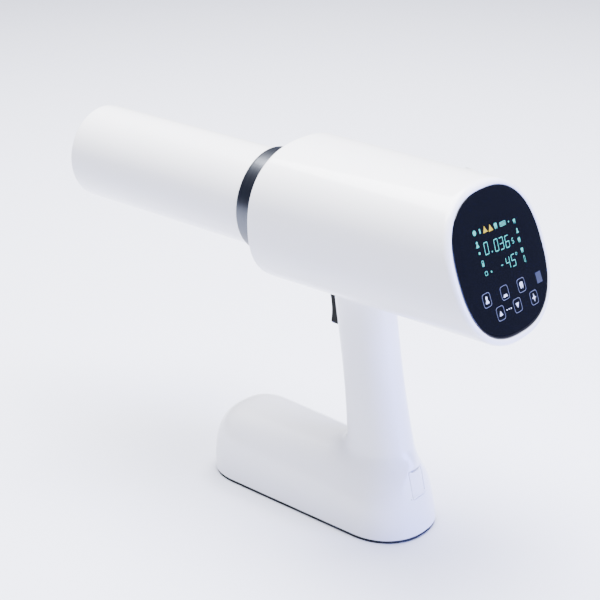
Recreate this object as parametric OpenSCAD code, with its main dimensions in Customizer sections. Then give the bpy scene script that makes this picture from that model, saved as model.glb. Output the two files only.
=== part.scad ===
// Hand-held intraoral X-ray unit: head with a spacer cone, pistol handle and a weighted foot.
// Millimetres. +X points to the control panel, -X along the beam, +Z up, the unit's left side is -Y.
// The origin is the centre of the foot's underside.

/* [Cone] */
// Height of the beam axis above the table
beam_z = 192.4; // [188:0.2:197]
// Outer radius of the cone
cone_r = 31; // [26:0.5:32]
// Wall of the cone tube
cone_wall = 2; // [1.5:0.1:2.5]
// Distance from the origin to the open end of the cone
cone_mouth_x = 194.3; // [150:0.1:240]
// Radius of the cone's rear flange
cone_flange_r = 34; // [33:0.5:34.5]
// Thickness of the cone's rear flange
cone_flange_t = 3; // [2:0.5:4]
// Wall of the metal liner inside the cone
liner_wall = 0.8; // [0.5:0.1:1.5]
// How much smaller the cone is under its collar and in the nose
cone_seat_step = 0.4; // [0.4:0.1:0.6]
// Step behind the cone's mouth that keeps the liner in
mouth_step = 0.3; // [0.2:0.1:0.5]
// Distance from the cone's mouth to the liner
liner_setback = 10; // [4:1:20]
// Length of the collar ring
collar_len = 13.4; // [8:0.2:20]
// How far the collar stands proud of the cone
collar_step = 2.1; // [1:0.1:2.5]

/* [Head] */
// X of the nose's front face
nose_x = -30; // [-34:1:-28]
// Radius of the nose's front face
nose_r = 34; // [33.5:0.5:36]
// X of the head's front edge
head_front_x = -19; // [-20:0.5:-16]
// Half width of the head at its front
head_half_w = 50.3; // [47:0.5:60]
// Half width of the head at the panel
head_rear_half_w = 45.7; // [44:0.1:55]
// Half height of the head
head_half_h = 43; // [42:0.5:50]
// Height of the head's centre line
head_z = 194.6; // [192:0.2:199]
// Squareness of the head's section, 2 is an ellipse
head_square = 2.35; // [2.1:0.05:2.8]
// Radius of the head's front edge
head_edge_r = 1.5; // [1:0.5:4]
// Wall of the housing
wall = 2.5; // [2:0.1:3]

/* [Panel] */
// X of the panel's centre
panel_x = 125.8; // [110:0.2:160]
// Height of the panel's centre
panel_z = 195.2; // [193:0.2:198]
// Backward lean of the panel in degrees
panel_tilt = 21.5; // [10:0.5:25]
// Half width of the glass
glass_half_w = 41.3; // [39:0.1:42]
// Half height of the glass
glass_half_h = 41.8; // [39:0.1:42]
// Squareness of the glass outline
glass_square = 2.48; // [2.2:0.02:2.8]
// Thickness of the glass
glass_t = 2; // [1.5:0.1:2.5]
// Width of the ledge behind the glass
ledge_w = 3; // [2:0.1:4]
// Thickness of the ledge behind the glass
ledge_t = 3; // [2:0.1:4]
// Width of the display window
display_w = 51; // [40:1:54]
// Height of the display window
display_h = 29; // [20:1:34]
// How far the display's centre is above the glass's centre
display_up = 9; // [6:1:12]

/* [Handle] */
// X of the handle's axis at its reference height
handle_x = 36.2; // [32:0.2:40]
// Reference height of the handle
handle_ref_z = 114; // [105:1:122]
// Lean of the handle in degrees, its foot end to the rear
handle_lean = 8.8; // [5:0.2:11]
// Half depth of the handle, front to rear
handle_half_d = 19.2; // [18:0.2:24]
// Half width of the handle
handle_half_w = 15.5; // [14.5:0.1:19]
// Squareness of the handle's section
handle_square = 2.2; // [2:0.1:2.6]
// Extra half depth of the handle at the foot
handle_flare_d = 3.4; // [0:0.2:5]
// Extra half width of the handle at the foot
handle_flare_w = 2; // [0:0.2:4]

/* [Foot] */
// Half length of the foot at the table
foot_half_len = 82; // [78:1:100]
// Half width of the foot at the table
foot_half_w = 32; // [29:0.5:40]
// Height of the foot
foot_h = 47; // [44:0.5:55]
// Length of the foot's round front end
foot_nose_len = 32; // [26:1:36]
// Length of the foot's round rear corners
foot_tail_len = 34; // [24:1:38]
// Lean of the foot's rear wall in degrees
foot_rear_lean = 12; // [8:0.5:14]
// Squareness of the foot's side profile
foot_square = 3.2; // [2.4:0.1:3.6]
// Squareness of the foot's profile across its rear
foot_rear_square = 2.4; // [2.2:0.1:3.6]
// Squareness of the front of the foot's plan
foot_plan_square = 2.4; // [2.1:0.1:2.8]
// Squareness of the rear of the foot's plan
foot_tail_square = 2.2; // [2:0.1:2.8]
// Thickness of the rubber pad
pad_t = 2; // [1:0.2:3]
// How far the pad is set in from the foot's wall
pad_inset = 0.6; // [0.2:0.1:1.5]
// Thickness of the base plate
base_t = 2.5; // [2:0.1:3]

/* [Trigger] */
// Width of the trigger
trigger_w = 12; // [10:0.5:13]
// Height of the trigger's lower end
trigger_low_z = 125.5; // [122:0.5:127]
// Height of the trigger's pivot
pivot_z = 143.5; // [142:0.5:144.5]
// X of the trigger's pivot
pivot_x = 20; // [19:0.5:21]
// Radius of the trigger pin
pin_r = 1.5; // [1:0.1:1.7]
// Length of the trigger pin
pin_len = 22; // [20:0.5:23]

/* [Tank] */
// Outer radius of the X-ray tank
tank_r = 34; // [31:0.5:34]
// Wall of the tank
tank_wall = 2; // [1.5:0.1:2.5]
// X of the tank's front face
tank_front_x = -12; // [-12:0.5:-10]
// Length of the tank body
tank_len = 80; // [76:1:84]
// Thickness of the lead lining
lining_t = 1.2; // [0.8:0.1:1.5]
// Radius of the beam port in the tank
port_r = 9; // [6:0.5:11]
// Radius of the hole in the beam diaphragm
beam_hole_r = 3.7; // [3:0.1:5]
// Radius of the X-ray tube's glass bulb
tube_r = 14; // [12:0.5:14]
// X of the X-ray tube's axis, the focal spot
focus_x = 14; // [13:0.5:16]

/* [Supply] */
// Radius of a battery cell
cell_r = 9.1; // [8:0.1:9.2]
// Length of a battery cell
cell_len = 65; // [50:0.5:65]
// Height of the centre of the socket cover
cover_z = 34; // [32:0.5:35]
// Width of the socket cover
cover_w = 12; // [10:0.5:14]
// Height of the socket cover
cover_h = 18; // [16:0.5:19]
// Thickness of the socket cover
cover_t = 1.6; // [1.2:0.1:2]

/* [Fits] */
// Radial clearance of a pin that turns
running = 0.05; // [0.02:0.01:0.1]
// Clearance of pieces that slide or drop in
loose = 0.2; // [0.15:0.05:0.3]
// Gap beside a piece that moves
gap = 0.35; // [0.3:0.05:0.5]

/* [Fasteners] */
// Radius of a screw's shank
screw_r = 1.3; // [1:0.1:1.4]
// Radius of a screw's head
screw_head_r = 2.7; // [2.2:0.1:2.8]
// Height of a screw's head
screw_head_h = 1.8; // [1.2:0.1:2]
// Radius of a screw boss
boss_r = 3.3; // [3:0.1:3.6]

/* [Hidden] */
$fn = 48;

section_steps = 22;
far = 200;
skin = 0.01;

// Tank and cone
tank_back_x = tank_front_x + tank_len;
tank_in_r = tank_r - tank_wall;
lug_r = 3.4;
lug_at = tank_r + 1.5;
lug_len = 8;
lug_angles = [for (i = [0:5]) 60 * i];
gasket_t = 1;
lid_t = 3.5;
lid_x = tank_back_x + gasket_t;
lid_back_x = lid_x + lid_t;
flange_x = nose_x + 6;
flange_back_x = flange_x + cone_flange_t;
cone_in_r = cone_r - cone_wall;
cone_seat_r = cone_r - cone_seat_step;
cone_seat_x = nose_x - collar_len - 0.3;
liner_bore_r = cone_in_r + mouth_step;
liner_bore_x = liner_setback - 0.5 - cone_mouth_x;
liner_r = liner_bore_r - 0.1;
plug_at = [-18, 12];
bellows_at = [0, 19];
bellows_r = 8;
connector_r = 5;
connector_drop = 14;

// Beam port stack, measured forward from the tank's front face
filter_t = 1.5;
filter_r = 15;
diaphragm_t = 3;
diaphragm_r = 18;
holder_r = 22;
holder_flange_r = 27;
holder_lip_t = 3;
holder_depth = filter_t + diaphragm_t + holder_lip_t;
holder_screw_at = 24.2;
holder_angles = [30, 150, 270];

// X-ray tube, measured along Y from the focal spot
bulb_half = 20;
neck_half = 27;
neck_r = 8;
glass_wall = 1;

// Panel stack, measured inwards from the face of the glass
touch_t = 1.2;
display_t = 6;
carrier_t = 2.5;
carrier_depth = glass_t + ledge_t;
carrier_mid = carrier_depth + carrier_t / 2;
// How far the head's centre line lies down the panel from its centre, at the carrier
carrier_shift = (panel_z - carrier_mid * sin(panel_tilt) - head_z) / cos(panel_tilt);
carrier_half_h = (head_half_h - wall) / cos(panel_tilt) - carrier_t / 2 * tan(panel_tilt) - loose;
carrier_half_w = head_w(panel_x + glass_half_h * sin(panel_tilt)) - wall - loose;
carrier_screw_x = 14;
carrier_screw_y = (side_of(glass_half_w - ledge_w, glass_half_h - ledge_w, glass_square, carrier_screw_x)
    + side_of(carrier_half_w, carrier_half_h, head_square, carrier_screw_x - carrier_shift)) / 2;
pillar_len = 8.5;
pillar_at = [22, 27];
pillar_r = 2.4;
board_t = 1.6;
board_depth = carrier_depth + carrier_t + pillar_len;
board_half = [27, 31];
// How far the main board's centre is above the panel's centre
board_up = 4;
m2_r = 1;

// Inverter board
inverter_x = lid_back_x + 7.5;
inverter_half_h = 28;
inverter_half_w = side_of(head_w(inverter_x + board_t) - wall, head_half_h - wall, head_square, inverter_half_h) - 0.6;
guide_in = inverter_half_w - 2;
guide_half_h = 10;

// Switch
switch_board_x = 33;
switch_low_z = 122;
switch_high_z = 134;
spring_z = 136.8;
spring_r = 2.2;
spring_wire_r = 0.3;
spring_turns = 6;
trigger_back_x = 22;
trigger_tail = 4.6;
trigger_tail_t = 4.3 - wall;
// Room below the trigger, because its lower front corner dips as it swings in
swing_room = 1.3;
plunger_tip_x = 24.7;

// Foot and battery
plate_top = pad_t + base_t;
tray_floor = 1.2;
tray_z = plate_top + 0.3;
cell_z = tray_z + tray_floor + cell_r + 0.1;
cell_gap = 0.6;
cell_y = cell_r + cell_gap / 2;
cell_x = cell_len / 2 + 0.8;
tray_wall = 1.2;
link_t = 0.4;
tray_half_len = cell_x + cell_len / 2 + link_t + 0.5 + tray_wall;
tray_half_w = cell_y + cell_r + 0.4 + tray_wall;
battery_board_z = cell_z + cell_r + 0.2;
base_screw_y = (tray_half_w + foot_half_w - wall) / 2;
base_screw_at = [for (x = [-48, 44], y = [-base_screw_y, base_screw_y]) [x, y]];
base_boss_top = 16;
cover_pivot_in = 1;
knuckle_r = 1.3;
trunnion_r = 0.8;
trunnion_len = 1.6;
socket_r = 4;
socket_bore_r = 2.9;

// Housing screws: X, Z and where the head seats, measured from the parting plane
housing_screw_at = [
    [84, 229.4, 9], [94, 159.4, 9], [30, 100, 9], [38, 66, 9], [-58, 35, 10], [2, 35, 10]
];
housing_screw_len = 16;

// Harness route from the battery board to the inverter board
harness_r = 1.7;
harness_z = head_z - head_half_h + wall + harness_r + loose;
harness_route = [
    [-7, 0, 28], [10, 0, 28], [30, 0, 29], [44, 0, 34], [51, 0, 46], [52, 0, 60], [51, 0, 75],
    [47, 0, 95], [43, 0, 115], [39, 0, 135], [37, 0, 146], [38.5, 0, 152.5], [43, 0, harness_z - 0.4],
    [50, 0, harness_z], [62, 0, harness_z], [inverter_x - 6.5, 0, harness_z], [inverter_x - 2.4, 0, 159], [inverter_x - 1.9, 0, 164]
];

function bent(v, e) = sign(v) * pow(abs(v), e);
// Half width of a superellipse of half width a and half height b, at height h
function side_of(a, b, n, h) = a * pow(1 - pow(abs(h) / b, n), 1 / n);
function oval(a, b, n, steps = 2 * section_steps) =
    [for (i = [0:steps - 1]) let (t = 360 * i / steps) [a * bent(cos(t), 2 / n), b * bent(sin(t), 2 / n)]];

// Half section across X: from the top of the parting plane round the -Y side to its bottom
function head_ring(x, a, b, n, zc) =
    [for (i = [0:section_steps]) let (t = 90 + 180 * i / section_steps)
        [x, a * bent(cos(t), 2 / n), zc + b * bent(sin(t), 2 / n)]];
function head_w(x) =
    head_half_w + (head_rear_half_w - head_half_w) * (x - head_front_x) / (panel_x - head_front_x);
head_end_x = panel_x + head_half_h;

// Half section across Z: from the front of the parting plane round the -Y side to its rear
function handle_ring(z, inset) =
    let (drop = max(0, (handle_ref_z - z) / (handle_ref_z - foot_h)),
         xc = handle_x - (z - handle_ref_z) * tan(handle_lean),
         a = handle_half_d + handle_flare_d * pow(drop, 2) - inset,
         b = handle_half_w + handle_flare_w * pow(drop, 2) - inset)
    [for (i = [0:section_steps]) let (t = 180 + 180 * i / section_steps)
        [xc + a * bent(cos(t), 2 / handle_square), b * bent(sin(t), 2 / handle_square), z]];

function foot_rear(z) = foot_half_len - z * tan(foot_rear_lean);
function foot_shrink(z, inset, n) =
    let (h = foot_h - inset) pow(1 - pow(min(z / h, 1), n), 1 / n);
function foot_ring(z, inset) =
    let (s = foot_shrink(z, inset, foot_square),
         w = (foot_half_w - inset) * s,
         rear_w = (foot_half_w - inset) * foot_shrink(z, inset, foot_rear_square),
         nose_from = foot_nose_len - foot_half_len,
         nose = (foot_nose_len - inset) * s,
         tail_from = foot_half_len - foot_tail_len,
         tail = (foot_rear(z) - inset - tail_from) * min(1, 2.2 * s))
    concat(
        [for (i = [0:section_steps / 2]) let (t = 180 * i / section_steps)
            [nose_from - nose * bent(cos(t), 2 / foot_plan_square), -w * bent(sin(t), 2 / foot_plan_square), z]],
        [for (i = [section_steps / 2:-1:0]) let (t = 180 * i / section_steps)
            [tail_from + tail * bent(cos(t), 2 / foot_tail_square), -rear_w * bent(sin(t), 2 / foot_tail_square), z]]);
function foot_levels(inset) =
    concat(inset > 0 ? [pad_t - 1, plate_top] : [pad_t], [for (p = [18, 32, 44, 54, 63, 71, 78]) (foot_h - inset) * pow(sin(p), 2 / foot_square)]);

// Solid through half sections with the same number of points
module half_loft(rings) {
    m = len(rings);
    k = len(rings[0]);
    polyhedron(
        points = [for (ring = rings) each ring],
        faces = concat(
            [[for (j = [0:k - 1]) j]],
            [[for (j = [k - 1:-1:0]) (m - 1) * k + j]],
            [for (i = [0:m - 2], j = [0:k - 1]) let (n = (j + 1) % k)
                each [[i * k + j, (i + 1) * k + j, (i + 1) * k + n], [i * k + j, (i + 1) * k + n, i * k + n]]]));
}

// Frame of the panel: the face of the glass is Z = 0, +Z points out, +X points down
module on_panel() { translate([panel_x, 0, panel_z]) rotate([0, 90 - panel_tilt, 0]) children(); }
// Frame of the foot's rear wall at the socket cover
module on_rear() {
    translate([foot_rear(cover_z), 0, cover_z]) rotate([0, 90 - foot_rear_lean, 0]) children();
}
module on_beam(x = 0) { translate([x, 0, beam_z]) rotate([0, 90, 0]) children(); }
module tube_x(r, x0, x1) { on_beam(x0) cylinder(r = r, h = x1 - x0); }
module ring_x(r_out, r_in, x0, x1) {
    difference() {
        tube_x(r_out, x0, x1);
        tube_x(r_in, x0 - 1, x1 + 1);
    }
}
module along_y(x, z, r, y0, y1) { translate([x, y1, z]) rotate([90, 0, 0]) cylinder(r = r, h = y1 - y0); }
module block(x, y, z) {
    translate([x[0], y[0], z[0]]) cube([x[1] - x[0], y[1] - y[0], z[1] - z[0]]);
}
// Places children at an angle and radius round the beam axis
module round_beam(angle, radius) {
    translate([0, radius * cos(angle), beam_z + radius * sin(angle)]) rotate([0, 90, 0]) children();
}

module head_outside() {
    half_loft(concat(
        [head_ring(nose_x, nose_r, nose_r, 2, beam_z)],
        [for (q = [0, 30, 60, 90])
            let (x = head_front_x + head_edge_r * (1 - cos(q)), in = head_edge_r * (1 - sin(q)))
            head_ring(x, head_half_w - in, head_half_h - in, head_square, head_z)],
        [for (x = [head_end_x]) head_ring(x, head_w(x), head_half_h, head_square, head_z)]));
}
module head_inside() {
    back = -carrier_depth;
    difference() {
        half_loft([for (x = [head_front_x + wall, head_end_x])
            head_ring(x, head_w(x) - wall, head_half_h - wall, head_square, head_z)]);
        on_panel() translate([-far, -far, back]) cube([2 * far, 2 * far, far]);
    }
}
module handle_outside() { half_loft([for (z = [30, 46, 60, 75, 90, 114, 160]) handle_ring(z, 0)]); }
module handle_inside() { half_loft([for (z = [34, 46, 60, 75, 90, 114, 156]) handle_ring(z, wall)]); }
module foot_outside() { half_loft([for (z = foot_levels(0)) foot_ring(z, 0)]); }
module foot_inside() { half_loft([for (z = foot_levels(wall)) foot_ring(z, wall)]); }

// Ribs, guides and bosses that stay inside the left half; the right half is their mirror image
module inner_ribs() {
    for (x = [2, 44])
        difference() {
            block([x, x + wall], [-60, 1], [beam_z - 50, beam_z + 50]);
            tube_x(tank_r + loose, x - 1, x + wall + 1);
            block([x - 1, x + wall + 1], [-5, 2], [beam_z - 50, beam_z - tank_r]);
        }
    difference() {
        block([inverter_x - 2.2, inverter_x + board_t + 2.2], [-60, -guide_in], [head_z - guide_half_h, head_z + guide_half_h]);
        block([inverter_x - 0.1, inverter_x + board_t + 0.1], [-inverter_half_w - loose, 0],
              [head_z - guide_half_h - 1, head_z + guide_half_h + 1]);
    }
    difference() {
        block([switch_board_x - 1.9, switch_board_x + board_t + 1.9], [-20, -5.6], [114, 142]);
        block([switch_board_x - 0.1, switch_board_x + board_t + 0.1], [-7.2, 0], [115.8, 140.2]);
    }
    along_y(pivot_x, pivot_z, 3.3, -20, -trigger_w / 2 - gap);
    for (s = housing_screw_at) along_y(s[0], s[1], boss_r, -60, 0);
    for (p = base_screw_at)
        if (p[1] < 0) {
            translate([p[0], p[1], plate_top + 0.1]) cylinder(r = boss_r, h = base_boss_top - plate_top);
            block([p[0] - 1.5, p[0] + 1.5], [-60, p[1]], [plate_top + 0.1, base_boss_top]);
        }
    on_rear() translate([-cover_h / 2 - 3, -cover_w / 2 - 3.4, -5.5]) cube([cover_h + 6, far, 10]);
}

module trigger_slot() {
    block([0, pivot_x + 4], [-trigger_w / 2 - gap, 1], [trigger_low_z - swing_room, pivot_z + 4.5]);
}
module socket_cuts() {
    on_rear() {
        translate([-cover_h / 2 - gap, -cover_w / 2 - gap, -cover_t - 0.4])
            cube([cover_h + gap, cover_w + 2 * gap, 10]);
        translate([cover_h / 2 - cover_pivot_in, cover_w / 2 + gap, -cover_pivot_in])
            rotate([90, 0, 0]) cylinder(r = knuckle_r + 0.5, h = cover_w + 2 * gap);
        translate([cover_h / 2 - cover_pivot_in, cover_w / 2 + trunnion_len + gap, -cover_pivot_in])
            rotate([90, 0, 0]) cylinder(r = trunnion_r + running, h = cover_w + 2 * trunnion_len + 2 * gap);
        translate([0, 0, -20]) cylinder(r = socket_r + loose, h = 20);
    }
}

module half_shell() {
    difference() {
        union() {
            head_outside();
            handle_outside();
            foot_outside();
        }
        difference() {
            union() {
                head_inside();
                handle_inside();
                foot_inside();
            }
            inner_ribs();
        }
        tube_x(cone_seat_r + 0.15, nose_x - 1, flange_x + 1);
        tube_x(cone_flange_r + loose, flange_x - loose, flange_back_x + loose);
        tube_x(cone_r + 1, flange_back_x, head_front_x + wall + 1);
        on_panel() {
            translate([0, 0, -glass_t]) linear_extrude(60)
                polygon(oval(glass_half_h + loose, glass_half_w + loose, glass_square));
            translate([0, 0, -glass_t - ledge_t - 1]) linear_extrude(60)
                polygon(oval(glass_half_h - ledge_w, glass_half_w - ledge_w, glass_square));
            translate([-far, -far, 0]) cube([2 * far, 2 * far, far]);
            for (x = [-carrier_screw_x, carrier_screw_x])
                translate([x, -carrier_screw_y, -carrier_depth - 1]) cylinder(r = m2_r + 0.02, h = 3.2);
        }
        trigger_slot();
        along_y(pivot_x, pivot_z, pin_r + 0.02, -pin_len / 2 - 0.1, 1);
        socket_cuts();
        for (p = base_screw_at)
            if (p[1] < 0) translate([p[0], p[1], 0]) cylinder(r = screw_r + 0.02, h = base_boss_top - 3);
    }
}

module left_housing() {
    color("white") difference() {
        half_shell();
        for (s = housing_screw_at) along_y(s[0], s[1], screw_r + 0.02, s[2] - housing_screw_len - 1, 1);
    }
}
module right_housing() {
    color("ghostwhite") difference() {
        mirror([0, 1, 0]) half_shell();
        for (s = housing_screw_at) {
            along_y(s[0], s[1], screw_r + loose, -1, s[2] + 1);
            along_y(s[0], s[1], screw_head_r + loose, s[2], 60);
        }
    }
}
module screw(len, r = screw_r, head_r = screw_head_r, head_h = screw_head_h) {
    difference() {
        union() {
            translate([0, 0, -len]) cylinder(r = r, h = len + skin);
            cylinder(r = head_r, h = head_h);
        }
        translate([0, 0, head_h / 2]) cylinder(r = head_r / 2, h = head_h, $fn = 6);
    }
}
module housing_screws() {
    color("silver")
        for (s = housing_screw_at) translate([s[0], s[2], s[1]]) rotate([-90, 0, 0]) screw(housing_screw_len);
}

module collar_ring() {
    color("dimgray") ring_x(cone_r + collar_step, cone_seat_r + running, nose_x - collar_len, nose_x);
}
module cone_tube() {
    lip = cone_wall / 2;
    color("white") on_beam() difference() {
        union() {
            translate([0, 0, -cone_mouth_x + lip]) cylinder(r = cone_r, h = cone_mouth_x - lip + cone_seat_x);
            translate([0, 0, cone_seat_x - 1]) cylinder(r = cone_seat_r, h = flange_back_x - cone_seat_x + 1);
            translate([0, 0, -cone_mouth_x + lip]) rotate_extrude()
                translate([cone_r - lip, 0]) circle(r = lip);
            translate([0, 0, flange_x]) cylinder(r = cone_flange_r, h = cone_flange_t);
        }
        translate([0, 0, -cone_mouth_x - 1]) cylinder(r = cone_in_r, h = cone_mouth_x + flange_back_x + 2);
        translate([0, 0, liner_bore_x]) cylinder(r = liner_bore_r, h = flange_back_x + 1 - liner_bore_x);
    }
}
module cone_liner() {
    color("slategray")
        ring_x(liner_r, liner_r - liner_wall, -cone_mouth_x + liner_setback, flange_back_x - 2);
}

module panel_plate(inset, depth, t) {
    translate([0, 0, -depth - t]) linear_extrude(t)
        polygon(oval(glass_half_h - inset, glass_half_w - inset, glass_square));
}
module display_glass() { color("black") on_panel() panel_plate(0, 0, glass_t); }
module display_window(grow) {
    translate([-display_up - display_h / 2 - grow, -display_w / 2 - grow, -40])
        cube([display_h + 2 * grow, display_w + 2 * grow, 39]);
}
module touch_board() {
    color("darkgreen") on_panel() difference() {
        panel_plate(ledge_w + 0.4, glass_t, touch_t);
        display_window(0.4);
    }
}
module display_module() {
    color("darkslategray") on_panel() intersection() {
        display_window(0);
        translate([-60, -60, -glass_t - display_t]) cube([120, 120, display_t]);
    }
}
module carrier_places() { for (x = [-1, 1], y = [-1, 1]) translate([x * carrier_screw_x, y * carrier_screw_y]) children(); }
module pillar_places() {
    for (x = [-1, 1], y = [-1, 1]) translate([x * pillar_at[0] - board_up, y * pillar_at[1]]) children();
}
module panel_carrier() {
    color("dimgray") on_panel() difference() {
        translate([carrier_shift, 0, -carrier_depth - carrier_t]) linear_extrude(carrier_t)
            polygon(oval(carrier_half_h, carrier_half_w, head_square));
        display_window(0.4);
        carrier_places() translate([0, 0, -20]) cylinder(r = m2_r + 0.1, h = 20);
    }
}
module carrier_screws() {
    color("silver") on_panel() carrier_places()
        translate([0, 0, -carrier_depth - carrier_t]) rotate([180, 0, 0]) screw(carrier_t + 2, m2_r, 1.9, 1.4);
}
module board_pillars() {
    color("goldenrod") on_panel() pillar_places() difference() {
        translate([0, 0, -board_depth]) cylinder(r = pillar_r, h = pillar_len, $fn = 6);
        translate([0, 0, -board_depth - 1]) cylinder(r = m2_r, h = 6);
    }
}
module main_board() {
    color("darkgreen") on_panel() difference() {
        translate([-board_up - board_half[0], -board_half[1], -board_depth - board_t])
            cube([2 * board_half[0], 2 * board_half[1], board_t]);
        pillar_places() translate([0, 0, -far]) cylinder(r = m2_r + 0.1, h = far);
    }
}
module main_board_parts() {
    back = -board_depth - board_t;
    color("black") on_panel() translate([-board_up, 0, 0]) {
        for (y = [-12, 6]) translate([-14, y, back - 1.8]) cube([10, 10, 1.8]);
        translate([12, 8, back - 5]) cube([6, 18, 5]);
        translate([-24, -10, back - 4.5]) cube([6, 20, 4.5]);
        for (i = [0:3]) translate([4, -26 + 7 * i, back - 7]) cylinder(r = 2.5, h = 7);
    }
}
module buzzer() {
    color("black") on_panel() translate([18 - board_up, -16, -board_depth - board_t - 6]) difference() {
        cylinder(r = 6, h = 6);
        translate([0, 0, -1]) cylinder(r = 1, h = 3);
    }
}

module inverter_board() {
    color("darkgreen")
        block([inverter_x, inverter_x + board_t], [-inverter_half_w, inverter_half_w],
              [head_z - inverter_half_h, head_z + inverter_half_h]);
}
module inverter_transistors() {
    x = inverter_x + board_t;
    color("black") for (y = [-22, -8, 8, 22]) block([x, x + 4.5], [y - 5, y + 5], [head_z + 1.4, head_z + 17.4]);
}
module inverter_heatsink() {
    x = inverter_x + board_t + 4.5;
    color("silver") difference() {
        block([x, x + 6], [-28, 28], [head_z - 0.6, head_z + 19.4]);
        for (i = [0:8]) block([x + 2, x + 7], [-26.4 + 6 * i, -22.8 + 6 * i], [head_z - 1, head_z + 20]);
    }
}
module inverter_inductors() {
    x = inverter_x + board_t;
    color("goldenrod") for (y = [-18, 18])
        translate([x, y, head_z - 14.6]) rotate([0, 90, 0]) difference() {
            cylinder(r = 8, h = 8);
            translate([0, 0, -1]) cylinder(r = 3.5, h = 10);
        }
}

module tank_body() {
    color("silver") difference() {
        union() {
            tube_x(tank_r, tank_front_x, tank_back_x);
            for (a = lug_angles) round_beam(a, lug_at) translate([0, 0, tank_back_x - lug_len]) cylinder(r = lug_r, h = lug_len);
        }
        tube_x(tank_in_r, tank_front_x + tank_wall + 0.5, tank_back_x + 1);
        tube_x(port_r, tank_front_x - 1, 0);
        for (a = lug_angles) round_beam(a, lug_at) translate([0, 0, tank_back_x - lug_len + 1]) cylinder(r = screw_r + 0.02, h = lug_len);
        for (a = holder_angles) round_beam(a, holder_screw_at) translate([0, 0, tank_front_x - 1]) cylinder(r = m2_r + 0.02, h = 3.2);
    }
}
module tank_lining() {
    x = tank_front_x + tank_wall + 0.6;
    color("gray") difference() {
        tube_x(tank_in_r - 0.1, x, tank_back_x - 14);
        tube_x(tank_in_r - 0.1 - lining_t, x + lining_t, tank_back_x);
        tube_x(port_r, x - 1, x + 5);
    }
}
module lid_outline(x0, x1) {
    tube_x(tank_r, x0, x1);
    for (a = lug_angles) round_beam(a, lug_at) translate([0, 0, x0]) cylinder(r = lug_r, h = x1 - x0);
}
module lug_holes(x0, x1) {
    for (a = lug_angles) round_beam(a, lug_at) translate([0, 0, x0]) cylinder(r = screw_r + 0.1, h = x1 - x0);
}
module tank_gasket() {
    color("black") difference() {
        lid_outline(tank_back_x, lid_x);
        tube_x(tank_in_r, tank_back_x - 1, lid_x + 1);
        lug_holes(tank_back_x - 1, lid_x + 1);
    }
}
module lid_place(at, x) { translate([x, at[0], beam_z + at[1]]) rotate([0, 90, 0]) children(); }
module tank_lid() {
    color("silver") difference() {
        lid_outline(lid_x, lid_back_x);
        lug_holes(lid_x - 1, lid_back_x + 1);
        lid_place(plug_at, lid_x - 1) cylinder(r = 3 + running, h = lid_t + 2);
        lid_place([0, -connector_drop], lid_x - 1) cylinder(r = connector_r + running, h = lid_t + 2);
        lid_place(bellows_at, lid_x - 1) cylinder(r = 1, h = lid_t + 2);
    }
}
module tank_screws() {
    color("silver") for (a = lug_angles)
        round_beam(a, lug_at) translate([0, 0, lid_back_x]) screw(lid_t + gasket_t + 6, screw_r, screw_head_r, 2);
}
module oil_bellows() {
    color("black") lid_place(bellows_at, lid_x - 9) difference() {
        union() {
            cylinder(r = bellows_r, h = 9);
            for (i = [0:2]) translate([0, 0, 1 + 2.6 * i]) cylinder(r = bellows_r + 0.8, h = 1.2);
        }
        translate([0, 0, 1]) cylinder(r = bellows_r - 1, h = 9);
    }
}
module filler_plug() {
    color("goldenrod") lid_place(plug_at, lid_x) {
        cylinder(r = 3, h = lid_t + skin);
        translate([0, 0, lid_t]) cylinder(r = 4.5, h = 3, $fn = 6);
    }
}
module lid_connector() {
    color("ivory") lid_place([0, -connector_drop], lid_x - 4) {
        cylinder(r = connector_r, h = lid_t + 4 + skin);
        translate([0, 0, lid_t + 4]) cylinder(r = connector_r + 2, h = 2.5);
        for (y = [-2, 2]) translate([0, y, lid_t + 6.5 - skin]) cylinder(r = 0.6, h = 3);
    }
}
module beam_window() { color("wheat") tube_x(port_r - running, tank_front_x, tank_front_x + tank_wall + 0.5); }
module beam_filter() { color("silver") tube_x(filter_r, tank_front_x - filter_t, tank_front_x); }
module beam_diaphragm() {
    x = tank_front_x - filter_t;
    color("gray") ring_x(diaphragm_r, beam_hole_r, x - diaphragm_t, x);
}
module diaphragm_holder() {
    x = tank_front_x;
    color("dimgray") difference() {
        union() {
            tube_x(holder_r, x - holder_depth, x);
            tube_x(holder_flange_r, x - 2.4, x);
        }
        tube_x(diaphragm_r + 0.1, x - filter_t - diaphragm_t, x + 1);
        tube_x(diaphragm_r - 4, x - holder_depth - 1, x);
        for (a = holder_angles) round_beam(a, holder_screw_at) translate([0, 0, x - 10]) cylinder(r = m2_r + 0.1, h = 12);
    }
}
module holder_screws() {
    color("silver") for (a = holder_angles)
        round_beam(a, holder_screw_at) translate([0, 0, tank_front_x - 2.4]) rotate([180, 0, 0]) screw(4.2, m2_r, 1.9, 1.4);
}

// Turns a profile in (radius, Y) round the X-ray tube's axis
module on_tube() { translate([focus_x, 0, beam_z]) rotate([-90, 0, 0]) children(); }
module tube_envelope() {
    color("lightblue") on_tube() rotate_extrude() polygon([
        [neck_r - glass_wall, -neck_half], [neck_r, -neck_half], [neck_r, -bulb_half - 3], [tube_r, -bulb_half],
        [tube_r, bulb_half], [neck_r, bulb_half + 3], [neck_r, neck_half], [neck_r - glass_wall, neck_half],
        [neck_r - glass_wall, bulb_half + 2.6], [tube_r - glass_wall, bulb_half - 0.4],
        [tube_r - glass_wall, 0.4 - bulb_half], [neck_r - glass_wall, -bulb_half - 2.6]]);
}
module tube_anode() {
    r = neck_r - glass_wall - running;
    color("peru") difference() {
        on_tube() translate([0, 0, -neck_half - 1]) cylinder(r = r, h = neck_half + 3);
        translate([focus_x, 0, beam_z]) rotate([0, 0, -70]) translate([-20, 0, -20]) cube([40, 40, 40]);
    }
}
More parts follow.
